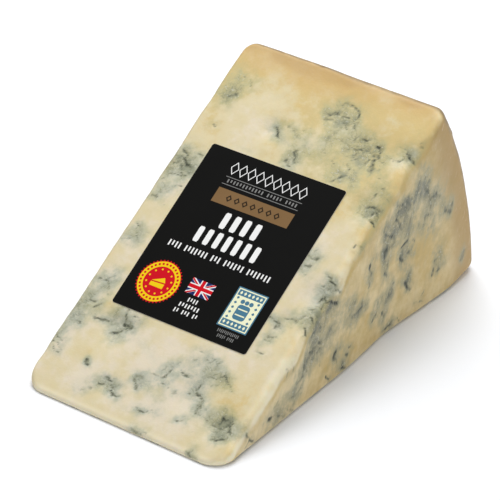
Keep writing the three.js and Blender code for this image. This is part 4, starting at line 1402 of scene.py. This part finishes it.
def toothed_circle(middle, inner, outer, teeth):
    radii = (outer, inner) * teeth
    return [around(middle, radius, math.pi * step / teeth) for step, radius in enumerate(radii)]


def dots_round(middle, place, count, radius, start=0.0):
    """Small circles, evenly spread along a larger one."""
    angles = (2 * math.pi * (step + start) / count for step in range(count))
    return [circle(around(middle, place, angle), radius, DOT_SEGMENTS) for angle in angles]


def lozenge(middle, width, height):
    across, up = middle
    return [
        (across + width / 2, up), (across, up + height / 2),
        (across - width / 2, up), (across, up - height / 2),
    ]


def lozenges_in(area, count, fill):
    """A row of lozenges over an area, each as wide as its share of the row times fill."""
    left, bottom, right, top = area
    pitch = (right - left) / count
    up = (bottom + top) / 2
    places = (left + pitch * (index + 0.5) for index in range(count))
    return [lozenge((place, up), fill * pitch, top - bottom) for place in places]


BAR_FILL = 0.54
BAR_TIP_WIDTH = 0.7
BAR_TIP_HEIGHT = 0.12


def blunt_bars_in(area, count):
    """A row of upright bars with their corners cut off, filling an area as large type would."""
    left, bottom, right, top = area
    pitch = (right - left) / count
    wide = BAR_FILL * pitch / 2
    narrow = BAR_TIP_WIDTH * wide
    tip = BAR_TIP_HEIGHT * (top - bottom)
    low, high = bottom + tip, top - tip
    shape = [
        (wide, low), (wide, high), (narrow, top), (-narrow, top),
        (-wide, high), (-wide, low), (-narrow, bottom), (narrow, bottom),
    ]
    middles = (left + pitch * (index + 0.5) for index in range(count))
    return [[(middle + aside, up) for aside, up in shape] for middle in middles]


WORD_GAP = 0.9
STROKE_FROM = 0.28
STROKE_TO = 0.7
STROKE_RISES = (0.0, 0.22, 0.0)


def strokes_in(area, words):
    """Short upright bars in groups, filling an area as a line of small print would."""
    left, bottom, right, top = area
    pitch = (right - left) / (sum(words) + WORD_GAP * (len(words) - 1))
    outlines = []
    place = left
    for word in words:
        for index in range(word):
            low = bottom + (top - bottom) * STROKE_RISES[index % 3]
            outlines.append(rectangle(place + STROKE_FROM * pitch, low, place + STROKE_TO * pitch, top))
            place += pitch
        place += WORD_GAP * pitch
    return outlines


def shrunk(outline, share):
    """An outline drawn in toward the middle of its points."""
    middle = np.mean(outline, axis=0)
    return [tuple(middle + share * (place - middle)) for place in np.array(outline)]


def clipped(outline, left, bottom, right, top):
    """The part of a convex outline inside a rectangle."""
    for axis, limit, sign in ((0, left, 1), (0, right, -1), (1, bottom, 1), (1, top, -1)):
        kept = []
        for here, after in zip(outline, outline[1:] + outline[:1]):
            here_in = sign * (here[axis] - limit) >= 0
            after_in = sign * (after[axis] - limit) >= 0
            if here_in:
                kept.append(here)
            if here_in != after_in:
                part = (limit - here[axis]) / (after[axis] - here[axis])
                kept.append(tuple(a + part * (b - a) for a, b in zip(here, after)))
        outline = kept
    return outline


def bar(start, end, width):
    """A straight bar between two places, as a counter-clockwise outline."""
    start, end = np.array(start), np.array(end)
    run = end - start
    side = np.array([-run[1], run[0]]) / math.hypot(*run) * width / 2
    return [tuple(place) for place in (start - side, end - side, end + side, start + side)]


def cross(area, width):
    """An upright cross that reaches the sides of an area."""
    left, bottom, right, top = area
    middle = middle_of(area)
    west, east = middle[0] - width / 2, middle[0] + width / 2
    south, north = middle[1] - width / 2, middle[1] + width / 2
    return [
        (west, bottom), (east, bottom), (east, south), (right, south), (right, north), (east, north),
        (east, top), (west, top), (west, north), (left, north), (left, south), (west, south),
    ]


# ------------------------------------------------------------------ the label and its print

BROKEN_EDGE = 0.05

NAME_ROW = (-11.3, 16.9, 10.6, 20.5)
NAME_COUNT = 9
NAME_FILL = 0.94
NAME_HOLLOW = 0.79
RULES = (16.2, 14.2)
RULE_THICKNESS = 0.16
SUBTITLE = ((-10.3, 14.75, 9.9, 15.7), (12, 5, 4))
BAND = (-11.05, 9.1, 10.55, 13.1)
BAND_ROW = (-8.2, 10.15, 7.7, 12.05)
BAND_COUNT = 7
BAND_FILL = 0.72
BAND_HOLLOW = 0.5
HEADLINES = (((-6.05, 3.4, 5.65, 7.7), 4), ((-10.15, -1.8, 8.65, 2.4), 7))
SMALL_LINE = ((-14.85, -4.95, 14.35, -3.35), (4, 7, 3, 6, 7))
FLAG_LINES = (
    ((-1.85, -16.15, 1.2, -15.05), (4,)),
    ((-3.3, -17.85, 2.6, -16.75), (7,)),
    ((-3.75, -19.55, 3.15, -18.45), (2, 3, 2)),
)
PANEL_LINES = (((9.25, -20.1, 15.25, -19.25), (13,)), ((9.9, -21.35, 14.6, -20.5), (5, 4)))

SEAL = Sizes(
    middle=(-11.05, -14.2), radius=5.8, teeth=40, band=(3.95, 5.35), band_gap=0.05,
    beads=30, bead_radius=0.3, dots=12, dot_place=3.2, dot_radius=0.24,
)
PICTOGRAM_DROP = 0.1
PICTOGRAM_SIZE = 1.9

# The flag's bars as shares of its height.
FLAG = (-3.55, -14.2, 2.95, -10.1)
WHITE_SALTIRE = 0.18
RED_SALTIRE = 0.1
SALTIRE_SHIFT = 1 / 40
WHITE_CROSS = 0.36
RED_CROSS = 0.22

PANEL = (8.25, -18.6, 16.45, -8.0)
PANEL_BORDER = 0.3
STRIP_INSET = 0.6
STRIP_HEIGHT = 1.5
STRIP_LOZENGES = 6
STRIP_LOZENGE = (0.7, 1.0)
STRIP_PITCH = 1.1
DRUM_DROP = 0.7
DRUM_SIZE = (3.3, 3.9)
DRUM_CORNER = 0.8
DRUM_BARS = (-0.75, 0.75)
DRUM_BAR_SIZE = (2.6, 0.32)
CROWN_DOTS = (-1.2, 0, 1.2)
CROWN_HEIGHT = 2.0
CROWN_RADIUS = 0.55
CROWN_SEGMENTS = 20
SIDE_INSET = 1.25
SIDE_LOZENGES = 5
SIDE_LOZENGE = 0.8
SIDE_PITCH = 1.3


def make_sheet():
    """The label's paper, with its top edge slightly broken."""
    outer = rounded_rectangle((0, 0), LABEL_WIDTH, LABEL_HEIGHT, LABEL_CORNER_RADIUS)
    inner = rounded_rectangle(
        (0, 0), LABEL_WIDTH - 2 * BROKEN_EDGE, LABEL_HEIGHT - 2 * BROKEN_EDGE,
        LABEL_CORNER_RADIUS - BROKEN_EDGE,
    )
    paper = Flat()
    paper.lofted([(outer, UNDERSIDE), (outer, LABEL_TOP - BROKEN_EDGE), (inner, LABEL_TOP)], closed=False)
    sheet = mesh_object("label_sheet", paper.points, paper.faces, smooth=False)
    count = len(outer)
    store_field(sheet, "cut", [1.0] * (2 * count) + [0.0] * count)
    coated = paper_material("black_paper", PAPER_BLACK, 0.6, mottle=0.1, gloss=0.06, core=PAPER_CORE)
    sheet.data.materials.append(coated)
    return sheet


def type_print(white, grey):
    """The name row, headlines and small lines, with lozenges, bars and strokes instead of letters."""
    for outer in lozenges_in(NAME_ROW, NAME_COUNT, NAME_FILL):
        white.ring(1, outer, shrunk(outer, NAME_HOLLOW))
    for area, words in (SMALL_LINE, *FLAG_LINES):
        white.plates(1, strokes_in(area, words))
    for area, count in HEADLINES:
        white.plates(1, blunt_bars_in(area, count))
    for up in RULES:
        low, high = up - RULE_THICKNESS / 2, up + RULE_THICKNESS / 2
        grey.plates(1, [rectangle(BAND[0], low, BAND[2], high)])
    for area, words in (SUBTITLE, *PANEL_LINES):
        grey.plates(1, strokes_in(area, words))


def band_print(bronze, black):
    bronze.plates(1, [rectangle(*BAND)])
    for outline in lozenges_in(BAND_ROW, BAND_COUNT, BAND_FILL):
        black.ring(2, outline, shrunk(outline, BAND_HOLLOW))


def cheese_pictogram(middle, size):
    """A small wedge of cheese as two outlines: its top face and its side."""
    top = [(-1, -0.05), (0.95, 0.1), (0.55, 0.75)]
    side = [(-1, -0.75), (0.95, -0.75), (0.95, -0.08), (-1, -0.22)]
    return [[(middle[0] + size * x, middle[1] + size * y) for x, y in face] for face in (top, side)]


def seal_print(red, yellow):
    """A round seal: a red disc with teeth, a yellow band with beads, dots and a small wedge."""
    band_inner, band_outer = SEAL.band
    red.plates(1, [toothed_circle(SEAL.middle, band_outer, SEAL.radius, SEAL.teeth)])
    outer = circle(SEAL.middle, band_outer - SEAL.band_gap)
    yellow.ring(2, outer, circle(SEAL.middle, band_inner))
    bead_place = (band_inner + band_outer) / 2
    red.plates(3, dots_round(SEAL.middle, bead_place, SEAL.beads, SEAL.bead_radius))
    yellow.plates(2, dots_round(SEAL.middle, SEAL.dot_place, SEAL.dots, SEAL.dot_radius, start=0.5))
    middle = (SEAL.middle[0], SEAL.middle[1] - PICTOGRAM_DROP)
    yellow.plates(2, cheese_pictogram(middle, PICTOGRAM_SIZE))


def flag_print(blue, white, red):
    """A plain union flag, from its field up to its red cross."""
    middle = np.array(middle_of(FLAG))
    height = FLAG[3] - FLAG[1]
    corners = rectangle(*FLAG)
    diagonals = ((corners[0], corners[2]), (corners[3], corners[1]))
    blue.plates(1, [corners])
    white.plates(2, [clipped(bar(*ends, WHITE_SALTIRE * height), *FLAG) for ends in diagonals])
    for corner in np.array(corners):
        run = middle - corner
        aside = np.array([run[1], -run[0]]) / math.hypot(*run) * SALTIRE_SHIFT * height
        arm = bar(corner + aside, middle + aside, RED_SALTIRE * height)
        red.plates(3, [clipped(arm, *FLAG)])
    white.plates(4, [cross(FLAG, WHITE_CROSS * height)])
    red.plates(5, [cross(FLAG, RED_CROSS * height)])


def panel_print(blue, cream):
    """A cream panel with strips of lozenges above and below a drum with three dots."""
    left, bottom, right, top = PANEL
    across, up = middle_of(PANEL)
    blue.plates(1, [rectangle(*PANEL)])
    inner_size = (right - left - 2 * PANEL_BORDER, top - bottom - 2 * PANEL_BORDER)
    cream.plates(2, [rectangle(*centred((across, up), *inner_size))])
    width, height = STRIP_LOZENGE
    for low in (bottom + STRIP_INSET, top - STRIP_INSET - STRIP_HEIGHT):
        blue.plates(3, [rectangle(left + STRIP_INSET, low, right - STRIP_INSET, low + STRIP_HEIGHT)])
        row = centred((across, low + STRIP_HEIGHT / 2), STRIP_LOZENGES * STRIP_PITCH, height)
        cream.plates(4, lozenges_in(row, STRIP_LOZENGES, width / STRIP_PITCH))
    drum = (across, up - DRUM_DROP)
    blue.plates(3, [rounded_rectangle(drum, *DRUM_SIZE, DRUM_CORNER)])
    for rise in DRUM_BARS:
        cream.plates(4, [rectangle(*centred((across, drum[1] + rise), *DRUM_BAR_SIZE))])
    for aside in CROWN_DOTS:
        blue.plates(3, [circle((across + aside, up + CROWN_HEIGHT), CROWN_RADIUS, CROWN_SEGMENTS)])
    for side in (left + SIDE_INSET, right - SIDE_INSET):
        for step in range(SIDE_LOZENGES):
            place = (side, up + SIDE_PITCH * (step - (SIDE_LOZENGES - 1) / 2))
            blue.plates(3, [lozenge(place, SIDE_LOZENGE, SIDE_LOZENGE)])


# The colour and roughness of each ink.
INKS = {
    "white": (srgb(250, 250, 248), 0.4),
    "grey": (srgb(138, 138, 136), 0.4),
    "bronze": (srgb(132, 102, 66), 0.38),
    "black": (srgb(46, 34, 20), 0.42),
    "red": (srgb(214, 8, 30), 0.38),
    "yellow": (srgb(252, 212, 16), 0.38),
    "blue": (srgb(32, 44, 104), 0.38),
    "pale_blue": (srgb(76, 126, 152), 0.4),
    "cream": (srgb(248, 250, 214), 0.4),
}


def make_print():
    """Every colour of the print as its own piece."""
    flats = {name: Flat() for name in INKS}
    type_print(flats["white"], flats["grey"])
    band_print(flats["bronze"], flats["black"])
    seal_print(flats["red"], flats["yellow"])
    flag_print(flats["blue"], flats["white"], flats["red"])
    panel_print(flats["pale_blue"], flats["cream"])
    pieces = []
    for name, (colour, roughness) in INKS.items():
        piece = mesh_object("label_print_" + name, flats[name].points, flats[name].faces, smooth=False)
        piece.data.materials.append(paper_material("ink_" + name, colour, roughness))
        pieces.append(piece)
    return pieces


# ------------------------------------------------------------------ stage

# Sizes and places of the stage are in metres. The camera's lens and sensor are in millimetres, and
# its target is a point of the wheel's frame.
FLOOR_SIZE = 6.0
KEY_PLACE = (-0.22, 0.42, 1.0)
KEY_TARGET = (0, 0, 0.02)
KEY_SIZE = 0.75
KEY_POWER = 10.5
SKY_STRENGTH = 0.48
CAMERA_AZIMUTH = math.radians(37.657)
CAMERA_ELEVATION = math.radians(33.004)
CAMERA_ROLL = math.radians(-1.369)
CAMERA_DISTANCE = 0.73365
CAMERA_LENS = 225.5
CAMERA_SENSOR = 36
CAMERA_TARGET = (22.606, 59.022, 15.0)


def make_floor():
    half = FLOOR_SIZE / 2
    corners = [(-half, -half, 0), (half, -half, 0), (half, half, 0), (-half, half, 0)]
    mesh = bpy.data.meshes.new("floor")
    mesh.from_pydata(corners, [], [(0, 1, 2, 3)])
    floor = linked("floor", mesh)
    shader = Shader("pale_floor")
    shader.set(Base_Color=FLOOR_WHITE, Roughness=0.75, Specular_IOR_Level=0.2)
    floor.data.materials.append(shader.material)


def aim(thing, place, target, roll=0.0):
    """Turns a light or camera at a place to look at a target, both in metres."""
    toward = np.array(target, float) - np.array(place, float)
    across = np.cross(toward, (0, 0, 1))
    across /= np.linalg.norm(across)
    upward = np.cross(across, toward)
    upward /= np.linalg.norm(upward)
    axes = (*turned(across, upward, roll), -toward / np.linalg.norm(toward))
    columns = [(*axis, 0) for axis in axes] + [(*place, 1)]
    thing.matrix_world = Matrix(columns).transposed()


def make_lights():
    world = bpy.data.worlds.new("studio")
    world.use_nodes = True
    sky = world.node_tree.nodes["Background"]
    sky.inputs["Color"].default_value = (1, 1, 1, 1)
    sky.inputs["Strength"].default_value = SKY_STRENGTH
    bpy.context.scene.world = world
    light = bpy.data.lights.new("key", "AREA")
    light.shape = "SQUARE"
    light.size = KEY_SIZE
    light.energy = KEY_POWER
    aim(linked("key", light), KEY_PLACE, KEY_TARGET)


def make_camera():
    camera = linked("camera", bpy.data.cameras.new("camera"))
    camera.data.lens = CAMERA_LENS
    camera.data.sensor_width = CAMERA_SENSOR
    target = to_part(CAMERA_TARGET)
    back = np.array([
        math.sin(CAMERA_AZIMUTH) * math.cos(CAMERA_ELEVATION),
        -math.cos(CAMERA_AZIMUTH) * math.cos(CAMERA_ELEVATION),
        math.sin(CAMERA_ELEVATION),
    ])
    aim(camera, target + CAMERA_DISTANCE * back, target, CAMERA_ROLL)
    bpy.context.scene.camera = camera


# ------------------------------------------------------------------ the whole

cheese = make_cheese()
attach(cheese, "root")
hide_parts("cheese")

sheet = make_sheet()
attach(sheet, "root")
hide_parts("label")

for printed in make_print():
    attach(printed, "root")

make_floor()
make_lights()
make_camera()
bpy.context.scene.view_settings.view_transform = "Standard"
bpy.context.scene.view_settings.look = "None"
